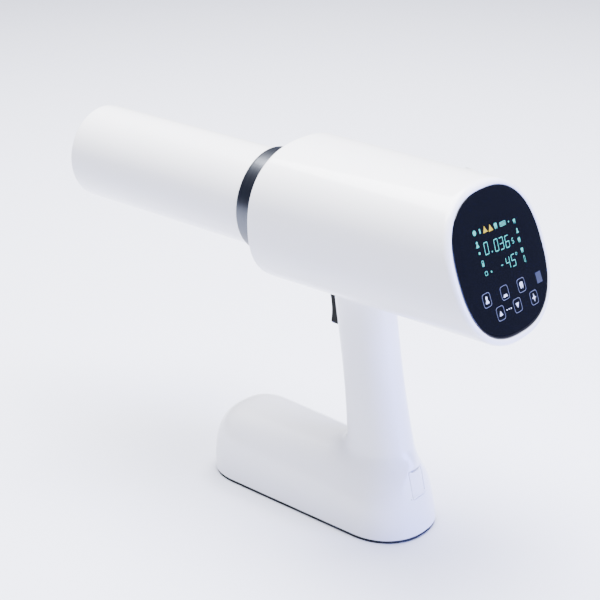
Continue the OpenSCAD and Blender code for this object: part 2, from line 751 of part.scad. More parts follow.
module tube_cathode() {
    r = neck_r - glass_wall - running;
    color("silver") on_tube() difference() {
        union() {
            translate([0, 0, 8]) cylinder(r = r, h = neck_half - 7);
            translate([0, 0, neck_half + 1 - skin]) cylinder(r = 1.2, h = 1.6);
        }
        translate([0, 0, 7]) cylinder(r = 4, h = 3);
    }
}
module tube_cradle() {
    color("ivory") difference() {
        block([focus_x, focus_x + tube_r + 4], [-18, 18], [beam_z - 17, beam_z + 17]);
        on_tube() translate([0, 0, -30]) cylinder(r = tube_r + 0.1, h = 60);
        block([focus_x - 1, focus_x + tube_r + 1], [-12, 12], [beam_z - 18, beam_z + 18]);
    }
}
module multiplier_board() {
    x = focus_x + tube_r + 5;
    color("darkgreen") intersection() {
        tube_x(29, x, x + board_t);
        block([0, 60], [-24, 24], [beam_z - 40, beam_z + 40]);
    }
}
module multiplier_capacitors() {
    x = focus_x + tube_r + 5 + board_t;
    color("royalblue") for (y = [-15, -5, 5, 15], z = [-12, 8])
        translate([x, y, beam_z + z]) rotate([0, 90, 0]) cylinder(r = 3.5, h = 8);
}
core_x = 47;
module transformer_core() {
    color("dimgray") difference() {
        block([core_x, core_x + 9], [-18, 18], [beam_z - 22, beam_z + 4]);
        block([core_x - 1, core_x + 10], [-10, 10], [beam_z - 14, beam_z - 4]);
    }
}
module transformer_coils() {
    color("peru") for (s = [-1, 1]) difference() {
        block([core_x - 1.8, core_x + 10.8], [s * 14 - 5.6, s * 14 + 5.6], [beam_z - 13.5, beam_z - 4.5]);
        block([core_x - loose, core_x + 9 + loose], [s * 14 - 4 - loose, s * 14 + 4 + loose], [beam_z - 20, beam_z]);
    }
}

module trigger() {
    half = trigger_w / 2;
    color("black") difference() {
        union() {
            translate([0, half, 0]) rotate([90, 0, 0]) linear_extrude(trigger_w) polygon(concat(
                [for (i = [0:8]) let (u = i / 8)
                    [9 - 1.2 * u + 1.2 * sin(180 * u), trigger_low_z + u * (pivot_z + 3 - trigger_low_z)]],
                [[pivot_x, pivot_z + 3], [trigger_back_x, pivot_z], [trigger_back_x, trigger_low_z - trigger_tail],
                 [trigger_back_x - trigger_tail_t, trigger_low_z - trigger_tail], [trigger_back_x - trigger_tail_t, trigger_low_z]]));
            along_y(pivot_x, pivot_z, 3.2, -half, half);
        }
        along_y(pivot_x, pivot_z, pin_r + running, -20, 20);
    }
}
module trigger_pin() { color("silver") along_y(pivot_x, pivot_z, pin_r, -pin_len / 2, pin_len / 2); }

function spring_point(t, len) = [len * t, spring_r * cos(360 * spring_turns * t), spring_r * sin(360 * spring_turns * t)];
module trigger_spring() {
    x0 = trigger_back_x + 0.4;
    len = switch_board_x - x0 - 0.4;
    steps = spring_turns * 10;
    sides = 6;
    color("silver") translate([x0, 0, spring_z]) polyhedron(
        points = [for (i = [0:steps], j = [0:sides - 1])
            let (t = i / steps, c = spring_point(t, len), a = 360 * spring_turns * t, b = 360 * j / sides)
            [c[0] + spring_wire_r * cos(b), c[1] + spring_wire_r * sin(b) * cos(a), c[2] + spring_wire_r * sin(b) * sin(a)]],
        faces = concat(
            [[for (j = [0:sides - 1]) j]],
            [[for (j = [sides - 1:-1:0]) steps * sides + j]],
            [for (i = [0:steps - 1], j = [0:sides - 1]) let (n = (j + 1) % sides)
                each [[i * sides + j, (i + 1) * sides + j, (i + 1) * sides + n], [i * sides + j, (i + 1) * sides + n, i * sides + n]]]));
}
module trigger_switch() {
    color("black") {
        block([plunger_tip_x + 2, switch_board_x], [-3, 3], [switch_low_z, switch_high_z]);
        translate([plunger_tip_x, 0, (switch_low_z + switch_high_z) / 2]) rotate([0, 90, 0]) cylinder(r = 1.2, h = 2 + skin);
    }
}
module switch_board() {
    color("darkgreen") block([switch_board_x, switch_board_x + board_t], [-7, 7], [116, 140]);
}

module cell_places() { for (x = [-1, 1], y = [-1, 1]) translate([x * cell_x, y * cell_y, cell_z]) rotate([0, 90, 0]) children(); }
module battery_cells() {
    color("mediumseagreen") cell_places() {
        translate([0, 0, -cell_len / 2]) cylinder(r = cell_r, h = cell_len - 1);
        translate([0, 0, cell_len / 2 - 1 - skin]) cylinder(r = 3, h = 1 + skin);
    }
}
module cell_links() {
    top = cell_z + 4;
    low = cell_z - 4;
    end = cell_x + cell_len / 2;
    color("silver") {
        block([end, end + link_t], [-cell_y - 4, cell_y + 4], [low, top]);
        for (y = [-cell_y, cell_y]) {
            block([-end - link_t, -end], [y - 4, y + 4], [low, top]);
            block([-0.8, 0.8], [y - 4, y + 4], [low, top]);
        }
    }
}
module battery_tray() {
    color("dimgray") difference() {
        block([-tray_half_len, tray_half_len], [-tray_half_w, tray_half_w], [tray_z, cell_z]);
        block([-tray_half_len + tray_wall, tray_half_len - tray_wall], [-tray_half_w + tray_wall, tray_half_w - tray_wall],
              [tray_z + tray_floor, cell_z + 1]);
    }
}
module battery_board() {
    z = battery_board_z;
    color("darkgreen") {
        block([-52, -8], [-15, 15], [z, z + board_t]);
        block([-16, -8.2], [-5, 5], [z + board_t - skin, z + board_t + 4]);
        for (x = [-46, -38, -30]) block([x, x + 5], [-8, 8], [z + board_t - skin, z + board_t + 1.6]);
    }
}

module charging_socket() {
    face = -cover_t - 0.6;
    color("black") on_rear() difference() {
        union() {
            translate([0, 0, -6]) cylinder(r = socket_r, h = 6 + face);
            translate([-5, -5, -15]) cube([10, 10, 9.3]);
        }
        translate([0, 0, -12]) cylinder(r = socket_bore_r, h = 20);
    }
}
module socket_cover() {
    color("white") on_rear() difference() {
        union() {
            translate([-cover_h / 2, -cover_w / 2, -cover_t]) cube([cover_h - cover_pivot_in, cover_w, cover_t]);
            translate([cover_h / 2 - cover_pivot_in, cover_w / 2, -cover_pivot_in])
                rotate([90, 0, 0]) cylinder(r = knuckle_r, h = cover_w);
            translate([cover_h / 2 - cover_pivot_in, cover_w / 2 + trunnion_len, -cover_pivot_in])
                rotate([90, 0, 0]) cylinder(r = trunnion_r, h = cover_w + 2 * trunnion_len);
        }
        translate([-cover_h / 2 - 1, -4, -0.7]) cube([1.8, 8, 2]);
    }
}

// Tube of eight sides through the points of a route that stays in the plane Y = 0
module wiring_harness() {
    k = len(harness_route);
    sides = 8;
    color("darkorange") polyhedron(
        points = [for (i = [0:k - 1])
            let (a = harness_route[max(i - 1, 0)], b = harness_route[min(i + 1, k - 1)],
                 d = (b - a) / norm(b - a), u = [-d[2], 0, d[0]])
            for (j = [0:sides - 1]) let (t = 360 * j / sides)
                harness_route[i] + harness_r * (cos(t) * u + sin(t) * [0, 1, 0])],
        faces = concat(
            [[for (j = [0:sides - 1]) j]],
            [[for (j = [sides - 1:-1:0]) (k - 1) * sides + j]],
            [for (i = [0:k - 2], j = [0:sides - 1]) let (n = (j + 1) % sides)
                each [[i * sides + j, (i + 1) * sides + j, (i + 1) * sides + n], [i * sides + j, (i + 1) * sides + n, i * sides + n]]]));
}

function whole_plan(z, inset) =
    let (half = foot_ring(z, inset), k = len(half))
    concat([for (p = half) [p[0], p[1]]], [for (i = [k - 2:-1:1]) [half[i][0], -half[i][1]]]);
module base_plate() {
    color("dimgray") difference() {
        translate([0, 0, pad_t]) linear_extrude(base_t) polygon(whole_plan(plate_top, wall + loose));
        for (p = base_screw_at) translate([p[0], p[1], 0]) {
            cylinder(r = screw_r + loose, h = 10);
            cylinder(r = screw_head_r + loose, h = pad_t + 1.3);
        }
    }
}
module base_screws() {
    color("silver") for (p = base_screw_at)
        translate([p[0], p[1], pad_t + 1.3]) rotate([180, 0, 0]) screw(8, screw_r, screw_head_r, 1.2);
}
module foot_pad() { color("black") linear_extrude(pad_t) polygon(whole_plan(pad_t, pad_inset)); }

left_housing();
right_housing();
housing_screws();
collar_ring();
cone_tube();
cone_liner();
display_glass();
touch_board();
display_module();
panel_carrier();
carrier_screws();
board_pillars();
main_board();
main_board_parts();
buzzer();
inverter_board();
inverter_transistors();
inverter_heatsink();
inverter_inductors();
tank_body();
tank_lining();
tank_gasket();
tank_lid();
tank_screws();
oil_bellows();
filler_plug();
lid_connector();
beam_window();
beam_filter();
beam_diaphragm();
diaphragm_holder();
holder_screws();
tube_envelope();
tube_anode();
tube_cathode();
tube_cradle();
multiplier_board();
multiplier_capacitors();
transformer_core();
transformer_coils();
trigger();
trigger_pin();
trigger_spring();
trigger_switch();
switch_board();
battery_cells();
cell_links();
battery_tray();
battery_board();
charging_socket();
socket_cover();
wiring_harness();
base_plate();
base_screws();
foot_pad();
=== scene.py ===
import math
import bmesh
import bpy
import numpy as np
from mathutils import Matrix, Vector


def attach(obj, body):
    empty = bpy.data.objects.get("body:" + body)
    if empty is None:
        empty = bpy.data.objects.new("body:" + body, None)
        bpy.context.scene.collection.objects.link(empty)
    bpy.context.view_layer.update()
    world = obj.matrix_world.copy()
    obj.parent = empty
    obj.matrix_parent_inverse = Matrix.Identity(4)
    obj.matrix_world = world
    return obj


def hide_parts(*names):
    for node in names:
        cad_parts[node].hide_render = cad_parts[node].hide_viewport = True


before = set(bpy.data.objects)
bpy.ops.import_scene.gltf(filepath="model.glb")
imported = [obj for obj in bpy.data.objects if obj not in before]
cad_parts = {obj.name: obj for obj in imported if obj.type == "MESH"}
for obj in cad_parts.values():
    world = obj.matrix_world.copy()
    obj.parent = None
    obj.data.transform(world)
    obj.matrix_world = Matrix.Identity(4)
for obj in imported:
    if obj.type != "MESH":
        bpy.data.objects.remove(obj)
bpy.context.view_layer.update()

# Studio: a plain pale floor, a large soft light overhead and a weaker tinted one behind the panel, which
# gives white plastic its faint lavender side. The air round it all is the same pale lavender.
CAMERA_AT = (0.5334, -0.6528, 0.5063)
CAMERA_AZIMUTH, CAMERA_ELEVATION = 40.31, 23.72
LENS_MM = 89.3
FLOOR_WHITE = "#D9DBE7"
AIR_WHITE = "#B9C2F6"
FILL_LAVENDER = "#8E9BF8"


def linear(hex_colour, alpha=1.0):
    """An sRGB hex colour as linear light: each channel goes through the sRGB transfer curve."""
    c = np.array([int(hex_colour[i:i + 2], 16) for i in (1, 3, 5)]) / 255
    return tuple(np.where(c <= 0.04045, c / 12.92, ((c + 0.055) / 1.055) ** 2.4)) + (alpha,)


def add(tree, kind, links=(), **settings):
    """Adds one node. Settings are sockets by name (spaces as _), or the node's own properties; links are
    (input socket, source node, output socket) triples."""
    made = tree.nodes.new(kind)
    for key, value in settings.items():
        label = key.replace("_", " ")
        found = [s for s in made.inputs if s.name == label]
        if hasattr(made, key) and not found:
            setattr(made, key, value)
        else:
            found[0].default_value = value
    for socket, source, output in links:
        tree.links.new(source.outputs[output], made.inputs[socket])
    return made


def finish_of(name, **shader):
    """A new material: returns it, its node tree and its Principled shader with these sockets set."""
    made = bpy.data.materials.new(name)
    made.use_nodes = True
    tree = made.node_tree
    tree.nodes.clear()
    surface = add(tree, "ShaderNodeBsdfPrincipled", **shader)
    add(tree, "ShaderNodeOutputMaterial", [("Surface", surface, "BSDF")])
    return made, tree, surface


world = bpy.data.worlds.new("studio_air")
world.use_nodes = True
world.node_tree.nodes["Background"].inputs["Color"].default_value = linear(AIR_WHITE)
world.node_tree.nodes["Background"].inputs["Strength"].default_value = 0.36
bpy.context.scene.world = world

camera = bpy.data.objects.new("camera", bpy.data.cameras.new("camera"))
camera.data.sensor_width, camera.data.lens = 36, LENS_MM
camera.data.clip_start = 0.05
camera.location = CAMERA_AT
camera.rotation_euler = (math.radians(90 - CAMERA_ELEVATION), 0, math.radians(CAMERA_AZIMUTH))
bpy.context.scene.collection.objects.link(camera)
bpy.context.scene.camera = camera


def soft_light(name, at, towards, size, watts, colour):
    """A square area light at a point, turned so that its face looks at another point."""
    lamp = bpy.data.objects.new(name, bpy.data.lights.new(name, "AREA"))
    lamp.data.shape, lamp.data.size, lamp.data.energy = "SQUARE", size, watts
    lamp.data.color = linear(colour)[:3]
    lamp.location = at
    from_to = Vector(towards) - Vector(at)
    lamp.rotation_euler = from_to.to_track_quat("-Z", "Y").to_euler()
    bpy.context.scene.collection.objects.link(lamp)
    return lamp


soft_light("overhead_softbox", (-0.15, 0.15, 1.6), (0, 0, 0.15), 1.4, 210, "#FFFFFF")
soft_light("rear_fill", (1.3, 0.3, 0.3), (0.05, 0, 0.14), 0.6, 55, FILL_LAVENDER)

floor_mesh = bpy.data.meshes.new("floor")
floor_mesh.from_pydata([(-6, -6, 0), (6, -6, 0), (6, 6, 0), (-6, 6, 0)], [], [(0, 1, 2, 3)])
floor = bpy.data.objects.new("floor", floor_mesh)
bpy.context.scene.collection.objects.link(floor)
# Emulsion paint, rolled: an even, pale, matt field with soft shadows and no gloss.
floor_paint, _, _ = finish_of("floor_matt_white", Base_Color=linear(FLOOR_WHITE), Roughness=0.9)
floor_mesh.materials.append(floor_paint)

# Housing: two moulded halves of white ABS, painted and polished, that meet on the middle plane.
# Head, handle and foot run into each other with moulded fillets. Screwed together from the right.
MM = 0.001
NOSE_X, NOSE_R, BEAM_Z = -30.0, 34.0, 192.4
HEAD_X, HEAD_W, HEAD_REAR_W, HEAD_H, HEAD_Z, HEAD_N, HEAD_EDGE = -19.0, 50.3, 45.7, 43.0, 194.6, 2.35, 1.5
PANEL_X, PANEL_Z, PANEL_TILT = 125.8, 195.2, math.radians(21.5)
GLASS_W, GLASS_H, GLASS_N, GLASS_T, LEDGE = 41.3, 41.8, 2.48, 2.0, 3.0
HANDLE_X, HANDLE_REF_Z, HANDLE_LEAN = 36.2, 114.0, math.radians(8.8)
HANDLE_D, HANDLE_W, HANDLE_N, FLARE_D, FLARE_W = 19.2, 15.5, 2.2, 3.4, 2.0
FOOT_L, FOOT_W, FOOT_H, FOOT_NOSE, FOOT_TAIL = 82.0, 32.0, 47.0, 32.0, 34.0
FOOT_LEAN, FOOT_K, FOOT_REAR_K, FOOT_N, FOOT_TAIL_N = math.radians(12), 3.2, 2.4, 2.4, 2.2
PAD_T = 2.0
FITS = {"loose": 0.2, "gap": 0.35}
TRIGGER_W, SLOT_LOW_Z = 12.0, 124.2
COVER_Z, COVER_W, COVER_H, COVER_T = 34.0, 12.0, 18.0, 1.6
SCREWS = ((84, 229.4), (94, 159.4), (30, 100), (38, 66), (-58, 35), (2, 35))
ABS_WHITE = "#ECECF1"


def bent(v, n):
    """Signed power 2/n of a cosine or sine, which turns a circle into a superellipse of squareness n."""
    return np.sign(v) * np.abs(v) ** (2 / n)


def head_half_width(x):
    """The head narrows in a straight line from its front edge to the panel."""
    return HEAD_W + (HEAD_REAR_W - HEAD_W) * (x - HEAD_X) / (PANEL_X - HEAD_X)


def handle_at(z):
    """Centre, half depth and half width of the handle at a height; below the grip both grow with the
    square of the drop."""
    drop = np.maximum(0, (HANDLE_REF_Z - z) / (HANDLE_REF_Z - FOOT_H))
    centre = HANDLE_X - (z - HANDLE_REF_Z) * np.tan(HANDLE_LEAN)
    return centre, HANDLE_D + FLARE_D * drop**2, HANDLE_W + FLARE_W * drop**2


def rise(z, k):
    """Share of the foot's width left at a height: (1 - (z/h)^k)^(1/k)."""
    return np.maximum(1 - np.clip(z / FOOT_H, 0, 1) ** k, 1e-12) ** (1 / k)


def tail_length(z):
    """Length of the foot's rounded rear at a height, with the rear wall leaning forwards."""
    return (FOOT_TAIL - z * np.tan(FOOT_LEAN)) * np.minimum(1, 2.2 * rise(z, FOOT_K))


def outside_foot(x, y, z):
    """Negative inside the foot: the sum of the two superellipse terms of its plan at that height, less 1."""
    nose_from, tail_from = FOOT_NOSE - FOOT_L, FOOT_L - FOOT_TAIL
    along = np.clip((x - nose_from) / (tail_from - nose_from), 0, 1)
    half = FOOT_W * ((1 - along) * rise(z, FOOT_K) + along * rise(z, FOOT_REAR_K))
    front = x < nose_from
    reach = np.where(front, FOOT_NOSE * rise(z, FOOT_K), tail_length(z))
    past = np.where(front, nose_from - x, np.maximum(x - tail_from, 0))
    n = np.where(front, FOOT_N, FOOT_TAIL_N)
    out = (past / np.maximum(reach, 1e-6)) ** n + (np.abs(y) / np.maximum(half, 1e-6)) ** n - 1
    return np.where(z >= FOOT_H, 1.0, out)


def halved(test, low, high, steps=34):
    """Where test turns from negative to positive between two arrays, by halving the span again and again."""
    low, high = np.array(low, float), np.array(high, float)
    for _ in range(steps):
        mid = (low + high) / 2
        inside = test(mid) < 0
        low, high = np.where(inside, mid, low), np.where(inside, high, mid)
    return (low + high) / 2


def corner(a, b, c, s, tight=0.7):
    """A rounded corner from a to c that leaves both along the lines to b: a rational quadratic curve."""
    s = s.reshape((-1,) + (1,) * a.ndim)
    w0, w1, w2 = (1 - s) ** 2, 2 * tight * s * (1 - s), s**2
    return (w0 * a + w1 * b + w2 * c) / (w0 + w1 + w2)


def flow(a, a_way, c, c_way, s):
    """A fillet from a to c that starts along a_way and ends along c_way: a cubic Hermite curve."""
    s = s.reshape((-1,) + (1,) * a.ndim)
    h00, h10 = 2 * s**3 - 3 * s**2 + 1, s**3 - 2 * s**2 + s
    h01, h11 = -2 * s**3 + 3 * s**2, s**3 - s**2
    return h00 * a + h10 * a_way + h01 * c + h11 * c_way


def stitched(grids):
    """Quads over several grids of points (rows, columns, 3); each grid comes with its keep mask or None
    and a point that its faces turn away from. Returns points and faces."""
    points, faces, count = [], [], 0
    for grid, keep, inside in grids:
        m, k = grid.shape[:2]
        i = np.arange(m * k).reshape(m, k)
        quads = np.stack([i[:-1, :-1], i[1:, :-1], i[1:, 1:], i[:-1, 1:]], -1)
        quads = quads.reshape(-1, 4) if keep is None else quads[keep]
        flat = grid.reshape(-1, 3)
        across = np.cross(flat[quads[:, 2]] - flat[quads[:, 0]], flat[quads[:, 3]] - flat[quads[:, 1]])
        if np.sum(across * (flat[quads].mean(1) - inside)) < 0:
            quads = quads[:, ::-1]
        points.append(flat)
        faces.append(quads + count)
        count += m * k
    return np.concatenate(points), np.concatenate(faces)


def body_of_points(name, points, faces, material, crease=35):
    """A mesh object from points in millimetres and quads, with doubles merged; open borders and edges
    over crease degrees are left sharp."""
    mesh = bpy.data.meshes.new(name)
    mesh.from_pydata(np.round(points * MM, 8).tolist(), [], faces.tolist())
    work = bmesh.new()
    work.from_mesh(mesh)
    bmesh.ops.remove_doubles(work, verts=work.verts, dist=2e-6)
    bmesh.ops.dissolve_degenerate(work, edges=work.edges, dist=1e-7)
    work.to_mesh(mesh)
    work.free()
    mesh.polygons.foreach_set("use_smooth", np.ones(len(mesh.polygons), bool))
    mesh.set_sharp_from_angle(angle=math.radians(crease))
    used, sharp = np.zeros(len(mesh.loops), np.int32), np.zeros(len(mesh.edges), bool)
    mesh.loops.foreach_get("edge_index", used)
    mesh.edges.foreach_get("use_edge_sharp", sharp)
    mesh.edges.foreach_set("use_edge_sharp", sharp | (np.bincount(used, minlength=len(sharp)) == 1))
    mesh.materials.append(material)
    made = bpy.data.objects.new(name, mesh)
    bpy.context.scene.collection.objects.link(made)
    return made


def panel_point(right, up, out):
    """A point given on the panel: millimetres to the right, up the panel and out from the glass."""
    c, s = math.cos(PANEL_TILT), math.sin(PANEL_TILT)
    right, up, out = np.broadcast_arrays(right, up, out)
    return np.stack([PANEL_X - up * s + out * c, right, PANEL_Z + up * c + out * s], -1)


def head_grid():
    """Left half of the head: rings from the nose to the panel's rim, each a half superellipse in the
    angle from the top round the left side to the bottom."""
    t = np.radians(np.linspace(90, 270, 97))
    cos, sin = np.cos(t), np.sin(t)

    def section(x, inset=0.0):
        """Half a superellipse across the head at x, moved in by an inset."""
        x = np.broadcast_to(x, t.shape)
        return np.stack([x, (head_half_width(x) - inset) * bent(cos, HEAD_N),
                         HEAD_Z + (HEAD_H - inset) * bent(sin, HEAD_N)], -1)

    def circle(x, r):
        """Half a circle of radius r round the beam's axis at x."""
        return np.stack([np.full(t.shape, x), r * cos, BEAM_Z + r * sin], -1)

    nose = np.stack([circle(NOSE_X, 31.2), circle(NOSE_X, 33.3), circle(NOSE_X + 0.2, 33.8)])
    front_from, front_to = circle(NOSE_X + 0.6, NOSE_R + 0.1), section(HEAD_X + 0.1, 1.7)
    front = front_from + (front_to - front_from) * np.linspace(0, 1, 5).reshape(-1, 1, 1)
    q = np.radians(np.linspace(10, 90, 6))
    edge = np.stack([section(HEAD_X + HEAD_EDGE * (1 - np.cos(a)), HEAD_EDGE * (1 - np.sin(a))) for a in q])
    side = section(0.0)
    end_x = PANEL_X - (side[:, 2] - PANEL_Z) * np.tan(PANEL_TILT)
    outer, before = section(end_x), section(end_x - 3.4)
    s = np.linspace(0, 1, 112)[1:, None]
    barrel = np.stack([section(x) for x in (HEAD_X + HEAD_EDGE) * (1 - s) + s * (end_x - 3.4)])
    glass = panel_point((GLASS_W + FITS["loose"]) * bent(cos, GLASS_N),
                        (GLASS_H + FITS["loose"]) * bent(sin, GLASS_N), 0)
    inwards = glass - outer
    length = np.linalg.norm(inwards, axis=-1, keepdims=True)
    landing = outer + inwards / length * np.minimum(3.2, length * 0.75)
    rim = corner(before, outer, landing, np.linspace(0, 1, 11)[1:])
    out = np.array([math.cos(PANEL_TILT), 0, math.sin(PANEL_TILT)])
    lip = glass - inwards / length * 0.35
    fall = corner(lip, glass, glass - 0.35 * out, np.linspace(0, 1, 4))
    ledge = panel_point((GLASS_W - LEDGE) * bent(cos, GLASS_N), (GLASS_H - LEDGE) * bent(sin, GLASS_N),
                        -GLASS_T)
    deep = glass - GLASS_T * out
    return np.concatenate([nose, front, edge, barrel, rim, fall, deep[None], ledge[None]])


def handle_grids():
    """Left half of the handle: a wall over angle and height, a fillet up into the head's underside, and
    a fillet down onto the foot. Where the trigger passes, the wall is left open."""
    slot_half = TRIGGER_W / 2 + FITS["gap"]
    slot_turn = math.asin((slot_half / HANDLE_W) ** (HANDLE_N / 2))
    turn = np.concatenate([np.linspace(0, slot_turn, 10), np.linspace(slot_turn, math.pi, 62)[1:]]) + math.pi
    cos, sin = np.cos(turn), np.sin(turn)

    def wall(z):
        """Half a superellipse round the handle's leaning centre at a height."""
        z = np.broadcast_to(z, turn.shape)
        centre, deep, wide = handle_at(z)
        return np.stack([centre + deep * bent(cos, HANDLE_N), wide * bent(sin, HANDLE_N), z], -1)

    step = wall(100.0 + 0 * turn)
    along = np.gradient(step[:, :2], axis=0)
    along[0], along[-1] = (0, -1), (0, 1)
    normal = np.stack([along[:, 1], -along[:, 0]], -1)
    normal /= np.linalg.norm(normal, axis=1, keepdims=True)
    normal *= np.sign(np.sum(normal * (step[:, :2] - [handle_at(100.0)[0], 0]), 1, keepdims=True))

    def underside(p):
        """Height of the head's underside over a point: the head's superellipse solved for z."""
        share = np.clip(np.abs(p[..., 1]) / head_half_width(p[..., 0]), 0, 1)
        return HEAD_Z - HEAD_H * (1 - share**HEAD_N) ** (1 / HEAD_N)

    meet_z = halved(lambda z: z - underside(wall(z)), np.full(turn.shape, 140.0), np.full(turn.shape, 170.0))
    meet, reach = wall(meet_z), 5.0
    start = wall(meet_z - reach)
    land = np.concatenate([meet[:, :2] + normal * reach, meet_z[:, None]], 1)
    land[:, 2] = underside(land)
    beyond = np.concatenate([land[:, :2] + normal * 0.5, land[:, 2:]], 1)
    beyond[:, 2] = underside(beyond)
    way = (beyond - land) / np.linalg.norm(beyond - land, axis=1, keepdims=True)
    s = np.linspace(0, 1, 12)
    upper = flow(start, (meet - start) * 1.7, land, way * reach * 1.7, s)

    foot_z = halved(lambda z: outside_foot(wall(z)[:, 0], wall(z)[:, 1], z), np.full(turn.shape, 15.0),
                    np.full(turn.shape, FOOT_H + 0.5))
    foot = wall(foot_z)
    low = foot - [0, 0, 26.0]
    fan = np.radians(np.linspace(90, -10, 160))[:, None]

    def spoke(d):
        """Points at distances d from a low centre, along a fan of ways upright over each column's normal."""
        return (low[:, 0] + d * np.cos(fan) * normal[:, 0], low[:, 1] + d * np.cos(fan) * normal[:, 1],
                low[:, 2] + d * np.sin(fan))

    near = np.zeros((160, len(turn)))
    d = halved(lambda d: outside_foot(*spoke(d)), near, near + 170.0)
    path = np.stack(spoke(d), -1)
    steps = np.linalg.norm(np.diff(path, axis=0), axis=-1)
    run = np.concatenate([np.zeros((1, len(turn))), np.cumsum(steps, 0)])
    share = (turn - math.pi) / math.pi
    travel = 4.0 + 9.0 * (0.5 + 0.5 * np.cos(math.pi * share)) + 4.5 * np.sin(math.pi * share) ** 2
    column = np.arange(len(turn))

    def walked(far):
        """The point that lies this far along each column's path, on the straight piece it falls in."""
        row = np.minimum((run <= far).sum(0) - 1, len(run) - 2)
        part = (far - run[row, column]) / np.maximum(run[row + 1, column] - run[row, column], 1e-9)
        return path[row, column] * (1 - part[:, None]) + path[row + 1, column] * part[:, None]

    at, ahead = walked(travel), walked(travel + 0.6)
    way = (ahead - at) / np.linalg.norm(ahead - at, axis=1, keepdims=True)
    climb = 9.0 + 5.0 * np.sin(math.pi * share) ** 2
    top = wall(foot_z + climb)
    down = top - wall(foot_z + climb + 0.5)
    down /= np.linalg.norm(down, axis=1, keepdims=True)
    size = np.linalg.norm(at - top, axis=1, keepdims=True)
    lower = flow(top, down * size * 1.05, at, way * size * 1.05, np.linspace(0, 1, 22))

    s = np.linspace(0, 1, 42)[:, None]
    below = np.stack([wall(z) for z in (foot_z + climb) * (1 - s) + SLOT_LOW_Z * s])
    s = np.linspace(0, 1, 14)[:, None]
    above = np.stack([wall(z) for z in SLOT_LOW_Z * (1 - s) + (meet_z - reach) * s])
    past_slot = np.ones((13, len(turn) - 1), bool)
    past_slot[:, :9] = False
    axis = np.array([HANDLE_X, 0, 100.0])
    return [(below, None, axis), (above, past_slot, axis), (upper, None, meet.mean(0)),
            (lower, None, foot.mean(0))]


def foot_grid():
    """Left half of the foot: half plans stacked in height, closed to a line along its top."""
    p = np.radians(np.concatenate([np.linspace(5.0, 60, 34), np.linspace(62, 90, 26)]))
    z = np.concatenate([[PAD_T, PAD_T + 0.5], np.maximum(FOOT_H * np.sin(p) ** (2 / FOOT_K), PAD_T + 1.1)])
    z = np.unique(np.round(z, 6))[:, None]
    nose_from, tail_from = FOOT_NOSE - FOOT_L, FOOT_L - FOOT_TAIL
    inset = np.where(z < PAD_T + 0.1, 0.5, 0)
    t = np.radians(np.linspace(0, 90, 44))[None]
    nose_x = nose_from - (FOOT_NOSE * rise(z, FOOT_K) - inset) * bent(np.cos(t), FOOT_N)
    nose_y = -(FOOT_W * rise(z, FOOT_K) - inset) * bent(np.sin(t), FOOT_N)
    t = t[:, ::-1]
    tail_x = tail_from + (tail_length(z) - inset) * bent(np.cos(t), FOOT_TAIL_N)
    tail_y = -(FOOT_W * rise(z, FOOT_REAR_K) - inset) * bent(np.sin(t), FOOT_TAIL_N)
    s = np.linspace(0, 1, 62)[1:-1][None]
    side_x = nose_x[:, -1:] * (1 - s) + tail_x[:, :1] * s
    side_y = nose_y[:, -1:] * (1 - s) + tail_y[:, :1] * s
    x, y = np.concatenate([nose_x, side_x, tail_x], 1), np.concatenate([nose_y, side_y, tail_y], 1)
    return np.stack([x, y, np.broadcast_to(z, x.shape)], -1)


def rear_point(right, up, out, follow=True):
    """A point on the foot's rear wall, given across and up the wall from the cover's centre and out of
    it; with follow it lies on the rounded wall itself."""
    c, s = math.cos(FOOT_LEAN), math.sin(FOOT_LEAN)
    right, up, out = np.broadcast_arrays(right, up, out)
    z = COVER_Z + up * c
    half = FOOT_W * rise(z, FOOT_REAR_K)
    full = tail_length(z) * (1 - np.clip(np.abs(right) / half, 0, 1) ** FOOT_TAIL_N) ** (1 / FOOT_TAIL_N)
    flat = FOOT_L - COVER_Z * math.tan(FOOT_LEAN) - up * s
    x = FOOT_L - FOOT_TAIL + full if follow else flat
    return np.stack([x + out * c, right, z + out * s], -1)


def cover_recess():
    """Left half of the recess for the socket cover: a flush border, a wall, a floor and the hole for the
    charging socket, each ring a rounded half outline in the same angle."""
    t = np.radians(np.linspace(90, 270, 49))
    half_w, half_h = COVER_W / 2 + FITS["gap"], COVER_H / 2 + FITS["gap"]

    def outline(grow, n=9):
        """Half a superellipse with the cover's width and height, grown by an amount."""
        return (half_w + grow) * bent(np.cos(t), n), (half_h + grow) * bent(np.sin(t), n)

    rings = [rear_point(*outline(1.5), 0.01), rear_point(*outline(0.75), 0.02),
             rear_point(*outline(0.2), 0.02), rear_point(*outline(0.03), -0.08),
             rear_point(*outline(0), -0.35),
             rear_point(*outline(0), -COVER_T - 0.4, False),
             rear_point(4.2 * np.cos(t), 4.2 * np.sin(t), -COVER_T - 0.4, False),
             rear_point(4.2 * np.cos(t), 4.2 * np.sin(t), -7.0, False)]
    return np.stack(rings)


def screw_well(x, z, on_surface):
    """A deep round well from the right side: a flush ring, a small chamfer and a bore down to the head
    of the screw."""
    t = np.radians(np.linspace(0, 360, 49))
    rings = []
    for r, sink in ((4.6, -0.012), (3.6, -0.02), (3.25, -0.02), (3.05, 0.25), (2.9, 1.2)):
        px, pz = x + r * np.cos(t), z + r * np.sin(t)
        rings.append(np.stack([px, on_surface(px, pz) - sink, pz], -1))
    px, pz = x + 2.9 * np.cos(t), z + 2.9 * np.sin(t)
    rings.append(np.stack([px, np.full(t.shape, 10.5), pz], -1))
    return np.stack(rings)


def right_of_head(x, z):
    """Half width of the head at a point on its side: its superellipse solved for y."""
    return head_half_width(x) * (1 - (np.abs(z - HEAD_Z) / HEAD_H) ** HEAD_N) ** (1 / HEAD_N)


